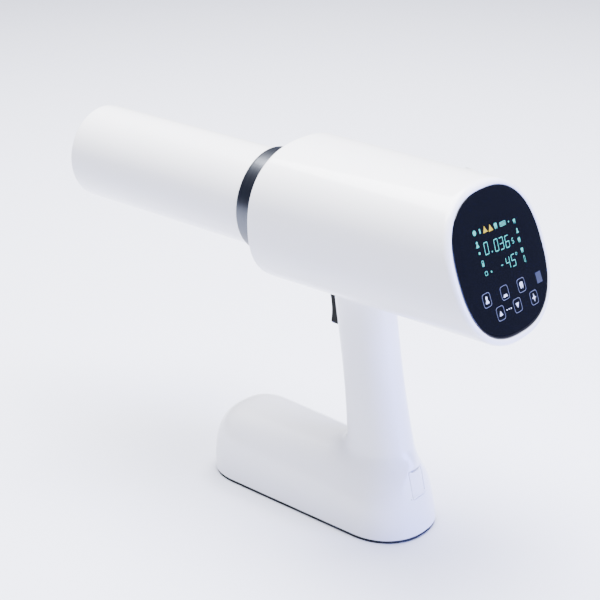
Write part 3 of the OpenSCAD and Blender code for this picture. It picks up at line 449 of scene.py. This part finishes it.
def right_of_handle(x, z):
    """Half width of the handle at a point on its side: its superellipse solved for y."""
    centre, deep, wide = handle_at(z)
    return wide * (1 - np.clip(np.abs(x - centre) / deep, 0, 1) ** HANDLE_N) ** (1 / HANDLE_N)


def right_of_foot(x, z):
    """Half width of the foot at a point on its side, found by halving from the middle plane outwards."""
    return halved(lambda y: outside_foot(x, y, z), np.zeros(np.shape(x)), np.full(np.shape(x), 40.0))


def sprayed_white(name, colour):
    """Moulded plastic, sprayed white and polished. The paint gives a wide soft sheen and its lacquer a
    sharper one over it. Orange peel 2 mm across, a few hundredths deep, ripples both very faintly, and
    the colour drifts by about a hundredth over 70 mm."""
    made, tree, surface = finish_of(name, Roughness=0.34, IOR=1.46, Coat_Weight=0.45, Coat_Roughness=0.07,
                                    Coat_IOR=1.5)
    where = add(tree, "ShaderNodeTexCoord")
    drift = add(tree, "ShaderNodeTexNoise", [("Vector", where, "Object")], Scale=1 / (71.43 * MM),
                Detail=2.0)
    tone = add(tree, "ShaderNodeValToRGB", [("Fac", drift, "Fac")])
    tone.color_ramp.elements[0].color = tuple(0.985 * c for c in linear(colour)[:3]) + (1,)
    tone.color_ramp.elements[1].color = linear(colour)
    peel = add(tree, "ShaderNodeTexNoise", [("Vector", where, "Object")], Scale=1 / (2.0833 * MM),
               Detail=1.0)
    bump = add(tree, "ShaderNodeBump", [("Height", peel, "Fac")], Strength=0.05, Distance=0.06 * MM)
    tree.links.new(tone.outputs["Color"], surface.inputs["Base Color"])
    tree.links.new(bump.outputs["Normal"], surface.inputs["Normal"])
    tree.links.new(bump.outputs["Normal"], surface.inputs["Coat Normal"])
    return made


abs_white = sprayed_white("abs_sprayed_white", ABS_WHITE)
head, foot, recess = head_grid(), foot_grid(), cover_recess()
handle = handle_grids()


def shell_half(side):
    """All grids of one half; the right half is the left one mirrored, and carries the screw wells."""
    mirror = np.array([1, side, 1])
    barrel_mid = (head[:-1, :-1] + head[1:, 1:]) / 2
    foot_mid = (foot[:-1, :-1] + foot[1:, 1:]) / 2
    across, up = foot_mid[..., 1], (foot_mid[..., 2] - COVER_Z) / math.cos(FOOT_LEAN)
    keep_foot = ~((foot_mid[..., 0] > FOOT_L - FOOT_TAIL) & (np.abs(across) < COVER_W / 2 + 1.1)
                  & (np.abs(up) < COVER_H / 2 + 1.1))
    keep_head = np.ones(barrel_mid.shape[:2], bool)
    parts = [list(g) for g in handle]
    wells = []
    if side < 0:
        surfaces = (right_of_head,) * 2 + (right_of_handle,) * 2 + (right_of_foot,) * 2
        for (x, z), surface in zip(SCREWS, surfaces):
            for grid, keep in ((head, keep_head), (foot, keep_foot)):
                mid = (grid[:-1, :-1] + grid[1:, 1:]) / 2
                keep &= ~((np.hypot(mid[..., 0] - x, mid[..., 2] - z) < 4.0) & (mid[..., 1] < -4))
            for part in parts:
                mid = (part[0][:-1, :-1] + part[0][1:, 1:]) / 2
                clear = ~((np.hypot(mid[..., 0] - x, mid[..., 2] - z) < 4.0) & (mid[..., 1] < -4))
                part[1] = clear if part[1] is None else part[1] & clear
            wells.append((screw_well(x, z, surface), None, np.array([x, -1000.0, z])))
    grids = [(head, keep_head, np.array([50.0, 0, HEAD_Z])), (foot, keep_foot, np.array([0, 0, 5.0]))]
    grids += [tuple(p) for p in parts] + [(recess, None, np.array([60.0, 0, COVER_Z]))]
    grids = [(g * mirror, k, i * mirror) for g, k, i in grids] + wells
    return stitched(grids)


for name, side in (("left_shell", 1), ("right_shell", -1)):
    points, faces = shell_half(side)
    points[:, 1] -= side * 0.005
    shell = body_of_points(name, points, faces, abs_white)
    thickness = shell.modifiers.new("wall", "SOLIDIFY")
    thickness.thickness, thickness.offset = 1.6 * MM, -1
    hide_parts(name.replace("shell", "housing"))
    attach(shell, "unit")

# Cone: a turned polycarbonate spacer tube with a rounded lip at its open end, sprayed like the housing.
# Its rear flange is trapped between the two halves, and a shoulder behind its mouth keeps the liner in.
CONE_R, CONE_WALL, CONE_MOUTH_X, FLANGE_X, FLANGE_R, FLANGE_T = 31.0, 2.0, -194.3, -24.0, 34.0, 3.0
SEAT_R, SEAT_X, LINER_BORE_R, LINER_BORE_X = 30.6, -43.7, 29.3, -184.8


def turned(profile, centre, axis, steps=160):
    """A closed profile of (along, radius) pairs carried round an axis: each point goes round a circle of
    its radius at its distance along the axis."""
    profile = np.array(profile, float)
    axis = np.array(axis, float)
    side = np.cross(axis, [0, 0, 1.0]) if abs(axis[2]) < 0.9 else np.array([1.0, 0, 0])
    other = np.cross(axis, side)
    t = np.linspace(0, 2 * np.pi, steps + 1)[:, None, None]
    ring = side * np.cos(t) + other * np.sin(t)
    grid = np.array(centre) + profile[None, :, :1] * axis + profile[None, :, 1:] * ring
    points, faces = stitched([(grid, None, np.zeros(3))])
    corners = points[faces]
    if np.sum(np.einsum("ij,ij->i", corners[:, 0], np.cross(corners[:, 1], corners[:, 2]))
              + np.einsum("ij,ij->i", corners[:, 0], np.cross(corners[:, 2], corners[:, 3]))) < 0:
        faces = faces[:, ::-1]
    return points, faces


lip = CONE_WALL / 2
roll = np.radians(np.linspace(90, 270, 17))
lip_curve = [(CONE_MOUTH_X + lip + lip * math.cos(a), CONE_R - lip + lip * math.sin(a)) for a in roll]
bore_r = CONE_R - CONE_WALL
cone_profile = ([(FLANGE_X, SEAT_R), (SEAT_X, SEAT_R)]
                + [(x, CONE_R) for x in np.linspace(SEAT_X, -188, 12)] + lip_curve
                + [(LINER_BORE_X, bore_r)] + [(x, LINER_BORE_R) for x in np.linspace(LINER_BORE_X, -30, 6)]
                + [(FLANGE_X + FLANGE_T, LINER_BORE_R), (FLANGE_X + FLANGE_T, FLANGE_R), (FLANGE_X, FLANGE_R),
                   (FLANGE_X, SEAT_R)])
cone = body_of_points("cone_tube_sprayed", *turned(cone_profile, (0, 0, BEAM_Z), (1, 0, 0)),
                      sprayed_white("polycarbonate_sprayed_white", ABS_WHITE))
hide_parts("cone_tube")
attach(cone, "unit")

# Collar: a ring of brass, turned and plated in dark chrome, pushed over the cone's seat against the nose
# of the housing. Its edges are broken by a 0.5 mm radius, and fine turning lines soften its reflections.
COLLAR_R, COLLAR_LEN, COLLAR_EDGE = 33.1, 13.4, 0.5
COLLAR_BACK, COLLAR_FRONT = NOSE_X - 0.02, NOSE_X - COLLAR_LEN
CHROME_DARK, CHROME_LIGHT = "#45484F", "#5B5E65"
edge = np.radians(np.linspace(0, 90, 6))
back_curve = [(COLLAR_BACK - COLLAR_EDGE * (1 - math.cos(a)), COLLAR_R - COLLAR_EDGE * (1 - math.sin(a)))
              for a in edge]
front_curve = [(COLLAR_FRONT + COLLAR_EDGE * (1 - math.sin(a)), COLLAR_R - COLLAR_EDGE * (1 - math.cos(a)))
               for a in edge]
collar_profile = ([(COLLAR_BACK, SEAT_R + 0.05)] + back_curve
                  + [(x, COLLAR_R) for x in np.linspace(COLLAR_BACK - 2, COLLAR_FRONT + 2, 4)]
                  + front_curve + [(COLLAR_FRONT, SEAT_R + 0.05), (COLLAR_BACK, SEAT_R + 0.05)])
# Dark chrome on turned brass: a dark, slightly blurred mirror, streaked by fine lines round the ring. The
# tool's lines lie 0.1 mm apart, too fine to show, so they are drawn 1.1 mm apart and 25 mm long.
dark_chrome, tree, surface = finish_of("brass_plated_dark_chrome", Metallic=1.0, Roughness=0.3)
where = add(tree, "ShaderNodeTexCoord")
stretch = add(tree, "ShaderNodeMapping", [("Vector", where, "Object")], 
              Scale=(1 / (1.1111 * MM), 1 / (25 * MM), 1 / (25 * MM)))
turning = add(tree, "ShaderNodeTexNoise", [("Vector", stretch, "Vector")], Scale=1.0, Detail=3.0)
tint = add(tree, "ShaderNodeValToRGB", [("Fac", turning, "Fac")])
tint.color_ramp.elements[0].color = linear(CHROME_DARK)
tint.color_ramp.elements[1].color = linear(CHROME_LIGHT)
tree.links.new(tint.outputs["Color"], surface.inputs["Base Color"])
collar = body_of_points("collar_chromed", *turned(collar_profile, (0, 0, BEAM_Z), (1, 0, 0)), dark_chrome)
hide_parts("collar_ring")
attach(collar, "unit")

# Panel glass: 2 mm toughened glass, printed blue-black on its back, with a ground and polished edge. It
# lies flush in the rim on a ledge, glued over the display and the touch board.
r = np.concatenate([np.linspace(0, 1, 24), np.full(7, 1.0)])[:, None]
t = np.linspace(0, 2 * np.pi, 193)[None]
edge = np.radians(np.linspace(0, 90, 6))
shrink = np.concatenate([np.full(24, 0.5), 0.5 * (1 - np.sin(edge[1:])), [0.0, 0.0]])[:, None]
depth = np.concatenate([np.zeros(24), -0.5 * (1 - np.cos(edge[1:])), [-GLASS_T, -GLASS_T]])[:, None]
r[-1] = 0.0
glass_grid = panel_point((GLASS_W - shrink) * r * bent(np.cos(t), GLASS_N),
                         (GLASS_H - shrink) * r * bent(np.sin(t), GLASS_N), depth + 0 * t)
# Toughened glass over back print: a deep blue-black under a sharp mirror gloss. The print's thickness
# drifts over 33 mm, which lightens the black a little here and there.
black_glass, tree, surface = finish_of("toughened_glass_back_printed_black", Roughness=0.02, IOR=1.5)
where = add(tree, "ShaderNodeTexCoord")
print_tone = add(tree, "ShaderNodeTexNoise", [("Vector", where, "Object")], Scale=1 / (33.333 * MM),
                 Detail=2.0)
tint = add(tree, "ShaderNodeValToRGB", [("Fac", print_tone, "Fac")])
tint.color_ramp.elements[0].color = linear("#030408")
tint.color_ramp.elements[1].color = linear("#06070D")
tree.links.new(tint.outputs["Color"], surface.inputs["Base Color"])
points, faces = stitched([(glass_grid, None, panel_point(0, 0, -1.0))])
glass = body_of_points("panel_glass", points, faces, black_glass, crease=50)
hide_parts("display_glass")
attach(glass, "unit")

# Marks on the glass: lit display figures in pale green and amber, and white printed key symbols in thin
# frames. Each mark is a flat sheet a few hundredths of a millimetre proud of the glass.
LIT_GREEN, LIT_AMBER = "#3E9C86", "#A8901A"
PRINT_WHITE, FRAME_GREY, WINDOW_GREY = "#D2D6E2", "#5A6072", "#2C3142"
SEGMENTS = {"0": "abcdef", "3": "abcdg", "6": "acdefg", "4": "bcfg", "5": "acdfg", "-": "g", "s": "acdfg"}


def bar(u0, v0, u1, v1, width):
    """A straight stroke with pointed ends: six corners, half a width to each side of the line."""
    a, b = np.array([u0, v0], float), np.array([u1, v1], float)
    d = (b - a) / np.linalg.norm(b - a)
    n = np.array([-d[1], d[0]]) * width / 2
    tip = d * width / 2
    inner_a, inner_b = a + tip * 0.8, b - tip * 0.8
    return np.array([a - tip * 0.2, inner_a + n, inner_b + n, b + tip * 0.2, inner_b - n, inner_a - n])


def figure(sign, u, v, wide, high, width=0.5, slant=0.09):
    """A seven-segment figure round (u, v): its strokes are sheared to the right by the slant."""
    x, y = wide / 2, high / 2
    lines = {"a": (-x, y, x, y), "b": (x, y, x, 0), "c": (x, 0, x, -y), "d": (-x, -y, x, -y),
             "e": (-x, 0, -x, -y), "f": (-x, y, -x, 0), "g": (-x, 0, x, 0)}
    out = []
    for letter in SEGMENTS[sign]:
        stroke = bar(*lines[letter], width)
        stroke[:, 0] += slant * stroke[:, 1]
        out.append(stroke + [u, v])
    return out


def disc(u, v, r, n=20):
    """A round dot: equal steps round a circle."""
    t = np.linspace(0, 2 * np.pi, n, endpoint=False)
    return np.stack([u + r * np.cos(t), v + r * np.sin(t)], -1)


def shape(u, v, *corners):
    """A flat shape from its corners, moved to (u, v)."""
    return np.array(corners, float) + [u, v]


def framed(u, v, half_w, half_h, line):
    """A thin rounded frame: quads between a superellipse and the same one a line's width smaller."""
    t = np.linspace(0, 2 * np.pi, 49)
    ring = np.stack([bent(np.cos(t), 5), bent(np.sin(t), 5)], -1)
    outer, inner = ring * [half_w, half_h] + [u, v], ring * [half_w - line, half_h - line] + [u, v]
    return [np.stack([outer[i], outer[i + 1], inner[i + 1], inner[i]]) for i in range(48)]


def person(u, v, k=1.0):
    """A head and shoulders: a dot over a six-cornered body."""
    body = k * np.array([(-0.6, 0.5), (0.6, 0.5), (1.9, -1.6), (1.9, -2.4), (-1.9, -2.4), (-1.9, -1.6)])
    return [disc(u, v + 1.5 * k, 1.15 * k), shape(u, v, *body)]


def tooth(u, v, k=1.0):
    """A molar: a crown over two roots."""
    crown = [(-1.7, 0.2), (-1.8, 1.5), (-0.9, 2.2), (0, 1.8), (0.9, 2.2), (1.8, 1.5), (1.7, 0.2)]
    left = [(-1.7, 0.2), (-0.1, 0.2), (-0.2, -0.6), (-0.8, -2.4), (-1.3, -1.6)]
    right = [(0.1, 0.2), (1.7, 0.2), (1.3, -1.6), (0.8, -2.4), (0.2, -0.6)]
    return [shape(u, v, *(k * np.array(part))) for part in (crown, left, right)]


def ink(name, polygons, colour, glow, lift=0.03):
    """Flat marks on the glass from lists of polygons in (right, up), in one colour of screen ink: satin, a
    little uneven over 1 mm, and lit from behind where it glows."""
    counts = np.array([len(p) for p in polygons])
    flat = np.concatenate(polygons)
    points = panel_point(flat[:, 0], flat[:, 1], lift) * MM
    starts = np.concatenate([[0], np.cumsum(counts)[:-1]])
    faces = [list(range(a, a + c)) for a, c in zip(starts, counts)]
    mesh = bpy.data.meshes.new(name)
    mesh.from_pydata(points.tolist(), [], faces)
    out = Vector((math.cos(PANEL_TILT), 0, math.sin(PANEL_TILT)))
    mesh.update()
    for face in mesh.polygons:
        if face.normal.dot(out) < 0:
            face.flip()
    paint, tree, surface = finish_of(name + "_ink", Roughness=0.35, Emission_Strength=glow)
    where = add(tree, "ShaderNodeTexCoord")
    grain = add(tree, "ShaderNodeTexNoise", [("Vector", where, "Object")], Scale=1 / (1.1111 * MM),
                Detail=1.0)
    tone = add(tree, "ShaderNodeValToRGB", [("Fac", grain, "Fac")])
    tone.color_ramp.elements[0].color = tuple(0.86 * c for c in linear(colour)[:3]) + (1,)
    tone.color_ramp.elements[1].color = linear(colour)
    tree.links.new(tone.outputs["Color"], surface.inputs["Base Color"])
    if glow:
        surface.inputs["Emission Color"].default_value = linear(colour)
    mesh.materials.append(paint)
    made = bpy.data.objects.new(name, mesh)
    bpy.context.scene.collection.objects.link(made)
    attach(made, "unit")
    return made


green = []
for sign, u in (("0", -10.4), ("0", -1.0), ("3", 4.0), ("6", 9.4)):
    green += figure(sign, u, 9.5 - 0.09 * u, 3.3, 6.5)
green += [disc(-6.0, 7.3, 0.5), *figure("s", 14.6, 7.6, 1.5, 2.8, 0.4)]
for sign, u, v, wide in (("-", -0.6, -2.2, 2.0), ("4", 5.2, -2.5, 3.2), ("5", 10.6, -2.6, 3.2)):
    green += figure(sign, u, v, wide, 6.4)
green += framed(14.6, 0.1, 0.75, 0.75, 0.3)
green += [disc(-17.2, 21.0, 1.5), shape(-12.1, 20.7, (-0.6, -1.3), (0.6, -1.3), (0.6, 1.3), (-0.6, 1.3))]
green += tooth(2.9, 19.6, 0.8) + framed(9.6, 19.0, 3.0, 1.3, 0.3)
green += [shape(u, 19.0, (-0.35, -0.8), (0.35, -0.8), (0.35, 0.8), (-0.35, 0.8))
          for u in (7.8, 9.0, 10.2, 11.4)]
green += [disc(15.4, 18.5, 0.5), *tooth(20.6, 17.4, 0.6)]
green += person(-17.4, 14.4, 0.7) + [disc(-17.4, 9.6, 0.8)] + framed(-16.9, 3.6, 1.0, 1.7, 0.35)
green += [shape(-16.9, 3.4, (-0.5, -1.1), (0.5, -1.1), (0.5, 0.6), (-0.5, 0.6))]
green += framed(-16.2, -2.2, 1.3, 1.2, 0.35) + [disc(-11.4, -2.6, 0.55)]
green += person(21.1, 11.6, 0.55) + tooth(20.6, 6.4, 0.65) + tooth(20.8, 0.3, 0.65)
green += framed(21.0, -4.9, 0.7, 1.9, 0.3)
ink("display_figures", green, LIT_GREEN, 0.55)
amber = [shape(u, v, (-2.1, -1.6), (2.1, -1.6), (0, 2.1)) for u, v in ((-7.4, 20.3), (-2.2, 19.8))]
ink("display_warnings", amber, LIT_AMBER, 0.45)

KEYS = ((-22.0, -15.8), (-4.9, -16.8), (11.6, -17.6), (20.1, -27.7), (-13.1, -26.2), (3.5, -26.9))
frames = [q for u, v in KEYS for q in framed(u, v, 3.7, 4.0, 0.3)]
ink("key_frames", frames, FRAME_GREY, 0.0)
symbols = person(*KEYS[0], 0.8) + tooth(*KEYS[2], 0.88)
symbols += [shape(KEYS[1][0], KEYS[1][1] - 1.6, (-2.1, -0.9), (2.1, -0.9), (1.2, 0.6), (-1.2, 0.6))]
symbols += [shape(*KEYS[3], (-0.5, -0.5), (0, -2.6), (0.5, -0.5), (2.1, 0), (0.5, 0.5), (0, 2.6),
                  (-0.5, 0.5), (-2.1, 0))]
symbols += [shape(*KEYS[4], (-1.6, -1.4), (1.6, -1.4), (0, 1.4)),
            shape(*KEYS[5], (-1.6, 1.4), (1.6, 1.4), (0, -1.5))]
symbols += [disc(u, v, 0.42) for u, v in ((-7.0, -26.2), (-4.9, -26.3), (-2.9, -26.5))]
ink("key_symbols", symbols, PRINT_WHITE, 0.0, 0.04)
window = shape(29.4, -18.4, (-2.6, -3.2), (2.6, -3.2), (2.6, 3.2), (-2.6, 3.2))
ink("sensor_window", [window], WINDOW_GREY, 0.0)

# Trigger: black glass-filled nylon, moulded, with a hollowed front for the finger. It swings on a steel
# pin behind the slot, and its lip stays behind the wall of the handle.
TRIGGER_LOW, TRIGGER_TOP, TRIGGER_BACK, PIVOT_X, PIVOT_Z = 125.5, 146.5, 22.0, 20.0, 143.5
u = np.concatenate([[0, 0, 0.03], np.linspace(0.06, 0.94, 30), [0.97, 1, 1]])[:, None]
round_off = np.concatenate([[6.0, 0.9, 0.3], np.zeros(30), [0.3, 0.9, 6.0]])[:, None]
t = np.linspace(0, 2 * np.pi, 129)[None]
front = 9 - 1.2 * u + 1.2 * np.sin(np.pi * u)
half = (TRIGGER_BACK - front) / 2
closed = np.isin(round_off, 6.0)
trigger_grid = np.stack([
    front + half + np.where(closed, 0, half - round_off) * bent(np.cos(t), 12),
    np.where(closed, 0, TRIGGER_W / 2 - round_off) * bent(np.sin(t), 12),
    TRIGGER_LOW + u * (TRIGGER_TOP - TRIGGER_LOW) + 0 * t], -1)
# Glass-filled nylon from a sparked tool: a dead black that takes hardly any light. The spark grain is
# 0.1 mm, too fine to show, so it is drawn 0.4 mm across and 0.05 mm deep.
nylon, tree, surface = finish_of("nylon_moulded_black", Roughness=0.55, IOR=1.53, Specular_IOR_Level=0.12)
where = add(tree, "ShaderNodeTexCoord")
spark = add(tree, "ShaderNodeTexNoise", [("Vector", where, "Object")], Scale=1 / (0.4 * MM), Detail=2.0)
tint = add(tree, "ShaderNodeValToRGB", [("Fac", spark, "Fac")])
tint.color_ramp.elements[0].color = linear("#020202")
tint.color_ramp.elements[1].color = linear("#050506")
bump = add(tree, "ShaderNodeBump", [("Height", spark, "Fac")], Strength=0.2, Distance=0.05 * MM)
tree.links.new(tint.outputs["Color"], surface.inputs["Base Color"])
tree.links.new(bump.outputs["Normal"], surface.inputs["Normal"])
eye_points, eye_faces = turned([(-5.9, 0), (-5.9, 3.1), (5.9, 3.1), (5.9, 0)], (PIVOT_X, 0, PIVOT_Z),
                               (0, 1, 0), 32)
points, faces = stitched([(trigger_grid, None, np.array([15.0, 0, 136.0]))])
trigger = body_of_points("trigger_moulded", np.concatenate([points, eye_points]),
                         np.concatenate([faces, eye_faces + len(points)]), nylon, crease=40)
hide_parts("trigger")
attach(trigger, "trigger")

# Foot pad: a 2 mm sheet of black nitrile rubber, cut to the plan of the foot with its edges eased, and
# glued under it so that the unit stands without sliding.
t_front, t_tail = np.radians(np.linspace(0, 90, 40)), np.radians(np.linspace(90, 0, 40))


def plan(inset):
    """Closed outline of the foot at the height of the pad, moved in by an amount."""
    front_n, tail_n = rise(PAD_T, FOOT_K), tail_length(np.float64(PAD_T))
    x = np.concatenate([FOOT_NOSE - FOOT_L - (FOOT_NOSE * front_n - inset) * bent(np.cos(t_front), FOOT_N),
                        FOOT_L - FOOT_TAIL + (tail_n - inset) * bent(np.cos(t_tail), FOOT_TAIL_N)])
    y = (inset - FOOT_W) * np.concatenate([bent(np.sin(t_front), FOOT_N), bent(np.sin(t_tail), FOOT_TAIL_N)])
    return np.concatenate([x, x[::-1]]), np.concatenate([y, -y[::-1]])


rings = []
for inset, z, squeeze in ((0.9, 0.0, 0.0), (0.9, 0.0, 1.0), (0.65, 0.1, 1.0), (0.6, 0.35, 1.0),
                          (0.6, 1.7, 1.0), (0.75, 1.99, 1.0), (0.75, 1.99, 0.0)):
    x, y = plan(inset)
    rings.append(np.stack([x, y * squeeze, np.full(x.shape, z)], -1))
# Pressed rubber: dull and dark, with a trace of talc left from the press in specks 0.8 mm across.
rubber, tree, surface = finish_of("rubber_sheet_black", Roughness=0.75, IOR=1.5)
where = add(tree, "ShaderNodeTexCoord")
talc = add(tree, "ShaderNodeTexNoise", [("Vector", where, "Object")], Scale=1 / (0.8333 * MM), Detail=3.0)
tint = add(tree, "ShaderNodeValToRGB", [("Fac", talc, "Fac")])
tint.color_ramp.elements[0].color = linear("#101012")
tint.color_ramp.elements[1].color = linear("#1E1E21")
tree.links.new(tint.outputs["Color"], surface.inputs["Base Color"])
pad = body_of_points("foot_pad_rubber", *stitched([(np.stack(rings), None, np.array([0, 0, 1.0]))]), rubber)
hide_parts("foot_pad")
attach(pad, "unit")

# Socket cover: a small flap of the same white ABS, curved like the wall round it, with a finger notch in
# its top edge. Two pins at its foot turn in the housing.
r = np.concatenate([np.linspace(0, 1, 16), np.full(7, 1.0)])[:, None]
t = np.linspace(0, 2 * np.pi, 129)[None]
edge = np.radians(np.linspace(0, 90, 5))
shrink = np.concatenate([np.full(16, 0.35), 0.35 * (1 - np.sin(edge[1:])), [0.0] * 3])[:, None]
sink = np.concatenate([np.zeros(16), -0.35 * (1 - np.cos(edge[1:])), [-0.8, -COVER_T, -COVER_T]])
sink = sink[:, None] - 0.05
r[-1] = 0.0
across = (COVER_W / 2 - shrink) * r * bent(np.cos(t), 9)
up = (COVER_H / 2 - 0.5 - shrink) * r * bent(np.sin(t), 9) + 0.5
notch = 0.9 / (1 + (across / 4) ** 12)
up = np.where(up > 7, np.minimum(up, COVER_H / 2 - shrink - notch), up)
back = np.zeros(r.shape, bool)
back[-2:] = True
flap_grid = np.where(back[..., None], rear_point(across, up, sink + 0 * t, False),
                     rear_point(across, up, sink + 0 * t))
pin_profile = [(-7.6, 0), (-7.6, 0.8), (-6.0, 0.8), (-6.0, 1.25), (6.0, 1.25), (6.0, 0.8), (7.6, 0.8),
               (7.6, 0)]
pin_points, pin_faces = turned(pin_profile, rear_point(0.0, -COVER_H / 2 + 1, -1.0, False), (0, 1, 0), 24)
points, faces = stitched([(flap_grid, None, rear_point(0.0, 0.0, -0.8, False))])
flap = body_of_points("socket_flap", np.concatenate([points, pin_points]),
                      np.concatenate([faces, pin_faces + len(points)]), abs_white)
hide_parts("socket_cover")
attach(flap, "socket_cover")

# Screws, trigger pin and spring: the screws and pin are headed and rolled from steel wire and zinc
# plated, which leaves a bright, slightly mottled grey. The spring is coiled from drawn wire, left bright.


def worked(name, light, dark, grain_mm, roughness, nodes, relief_mm=0.01, stretch=(1, 1, 1), **shader):
    """A finish for parts inside the housing, which keep their drawn shapes: two tones of one colour mixed
    by a noise of the finish's grain size in millimetres, which also raises the surface by its relief.
    Grain finer than that is drawn this coarse so that it shows. It goes into the slots of the parts."""
    made, tree, surface = finish_of(name, Roughness=roughness, **shader)
    where = add(tree, "ShaderNodeTexCoord")
    turn = add(tree, "ShaderNodeMapping", [("Vector", where, "Object")], Scale=stretch)
    grain = add(tree, "ShaderNodeTexNoise", [("Vector", turn, "Vector")], Scale=1 / (grain_mm * MM),
                Detail=2.0)
    tint = add(tree, "ShaderNodeValToRGB", [("Fac", grain, "Fac")])
    tint.color_ramp.elements[0].position, tint.color_ramp.elements[1].position = 0.35, 0.65
    tint.color_ramp.elements[0].color, tint.color_ramp.elements[1].color = linear(dark), linear(light)
    bump = add(tree, "ShaderNodeBump", [("Height", grain, "Fac")], Strength=0.3, Distance=relief_mm * MM)
    tree.links.new(tint.outputs["Color"], surface.inputs["Base Color"])
    tree.links.new(bump.outputs["Normal"], surface.inputs["Normal"])
    for node in nodes:
        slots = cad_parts[node].data.materials
        slots.clear()
        slots.append(made)
    return made


worked("steel_zinc_plated", "#C9CCD2", "#AEB2BA", 0.6, 0.3,
       ["housing_screws", "carrier_screws", "tank_screws", "holder_screws", "base_screws", "trigger_pin"],
       Metallic=1.0)
worked("spring_steel_drawn", "#B4B7BD", "#90949B", 0.4, 0.28, ["trigger_spring"], Metallic=1.0)

# Cone liner: a drawn aluminium tube that stops stray rays, slid into the cone up to its shoulder. The
# drawing leaves long faint lines and a soft grey shine.
worked("aluminium_drawn_liner", "#9DA2AB", "#878C96", 1.2, 0.35, ["cone_liner"], 0.01, (1, 6, 6),
       Metallic=1.0)

# Tank, lid, beam filter and heat sink: aluminium, milled from the solid, with the filter disc trapped under
# the holder of the diaphragm. The cutter leaves a satin grey with marks 0.9 mm apart.
worked("aluminium_milled", "#C3C6CB", "#ABAFB5", 0.9, 0.38,
       ["tank_body", "tank_lid", "inverter_heatsink", "beam_filter"], 0.01, (4, 1, 1), Metallic=1.0)

# Tank lining and beam diaphragm: rolled lead sheet, cut to shape and pressed into place. It is a dull
# blue-grey with soft dents a few millimetres across.
worked("lead_sheet_rolled", "#7E8288", "#5F636A", 2.5, 0.55, ["tank_lining", "beam_diaphragm"], 0.02,
       Metallic=1.0)

# Tube: a clear blown borosilicate bulb, sealed to a turned copper anode and a nickel cathode and held in
# a cradle of ivory acetal, which has a waxy satin look. The plug in the tank's lid is acetal too.
worked("copper_turned", "#C98A62", "#B4744E", 0.8, 0.32, ["tube_anode"], Metallic=1.0)
worked("nickel_turned", "#B9BABD", "#9C9DA1", 0.6, 0.3, ["tube_cathode"], Metallic=1.0)
worked("glass_blown_borosilicate", "#E8F1F2", "#DDE9EB", 6.0, 0.05, ["tube_envelope"], 0.0,
       Transmission_Weight=0.9, IOR=1.47)
worked("acetal_turned_ivory", "#E9E2CF", "#DCD3BC", 0.8, 0.4, ["lid_connector", "tube_cradle"])

# Beam window: a disc cast in amber epoxy and sealed into the tank's wall, where the beam leaves the oil.
# It has a resinous gloss and cloudy streaks.
worked("epoxy_cast_amber", "#D9C08B", "#C4A970", 2.0, 0.25, ["beam_window"])

# Transformer and inductors: cores of pressed and fired ferrite, a matt dark grey. The transformer is
# wound with enamelled copper wire 0.5 mm thick, which shows as fine glossy red-brown rings.
worked("copper_wire_enamelled", "#B8713D", "#8E4F26", 0.5, 0.3, ["transformer_coils"], 0.12, (1, 1, 8))
worked("ferrite_pressed", "#4A4A4D", "#3A3A3D", 0.5, 0.6, ["transformer_core", "inverter_inductors"])

# Boards: glass-fibre epoxy whose weave just shows through a glossy green solder mask. They carry satin
# black moulded components, a smoked glass display and blue lacquered capacitors, on brass pillars.
worked("glass_epoxy_green_masked", "#1F5B3A", "#17462D", 0.35, 0.35,
       ["touch_board", "main_board", "inverter_board", "multiplier_board", "switch_board", "battery_board"])
worked("epoxy_moulded_black", "#232326", "#18181A", 0.25, 0.5,
       ["main_board_parts", "inverter_transistors", "buzzer", "trigger_switch", "charging_socket"])
worked("lcd_glass_smoked", "#1B222B", "#141A22", 3.0, 0.1, ["display_module"])
worked("ceramic_disc_lacquered_blue", "#2E62A8", "#214D8A", 0.5, 0.3, ["multiplier_capacitors"])
worked("brass_turned", "#C9A557", "#B08D44", 0.7, 0.3, ["board_pillars", "filler_plug"], Metallic=1.0)

# Carrier, tray, base plate and diaphragm holder: black ABS, moulded and screwed in. The sparked tool
# gives them an even satin grain.
worked("abs_moulded_black", "#2B2C30", "#222327", 0.4, 0.45,
       ["panel_carrier", "battery_tray", "base_plate", "diaphragm_holder"], 0.02)

# Tank gasket and oil bellows: moulded nitrile rubber, matt and a little dusty. The lid clamps the gasket,
# and the bellows sits behind the lid's breather hole and takes up the oil's swelling.
worked("nitrile_rubber_moulded", "#1C1C1E", "#131314", 0.3, 0.7, ["tank_gasket", "oil_bellows"], 0.02)

# Battery: four cells in shrunk green PVC sleeves, which are glossy with slight wrinkles, joined by
# bright nickel strip, spot-welded across their ends.
worked("pvc_shrink_sleeve_green", "#3FA57A", "#2F8761", 1.5, 0.3, ["battery_cells"])
worked("nickel_strip_welded", "#C4C4C2", "#A9A9A6", 0.8, 0.35, ["cell_links"], Metallic=1.0)

# Wiring harness: leads in one sleeve of orange silicone rubber, from the battery in the foot up through
# the handle to the boards in the head. The sleeve is satin and picks up dust.
worked("silicone_sleeve_orange", "#E07A1F", "#C56415", 0.5, 0.5, ["wiring_harness"])
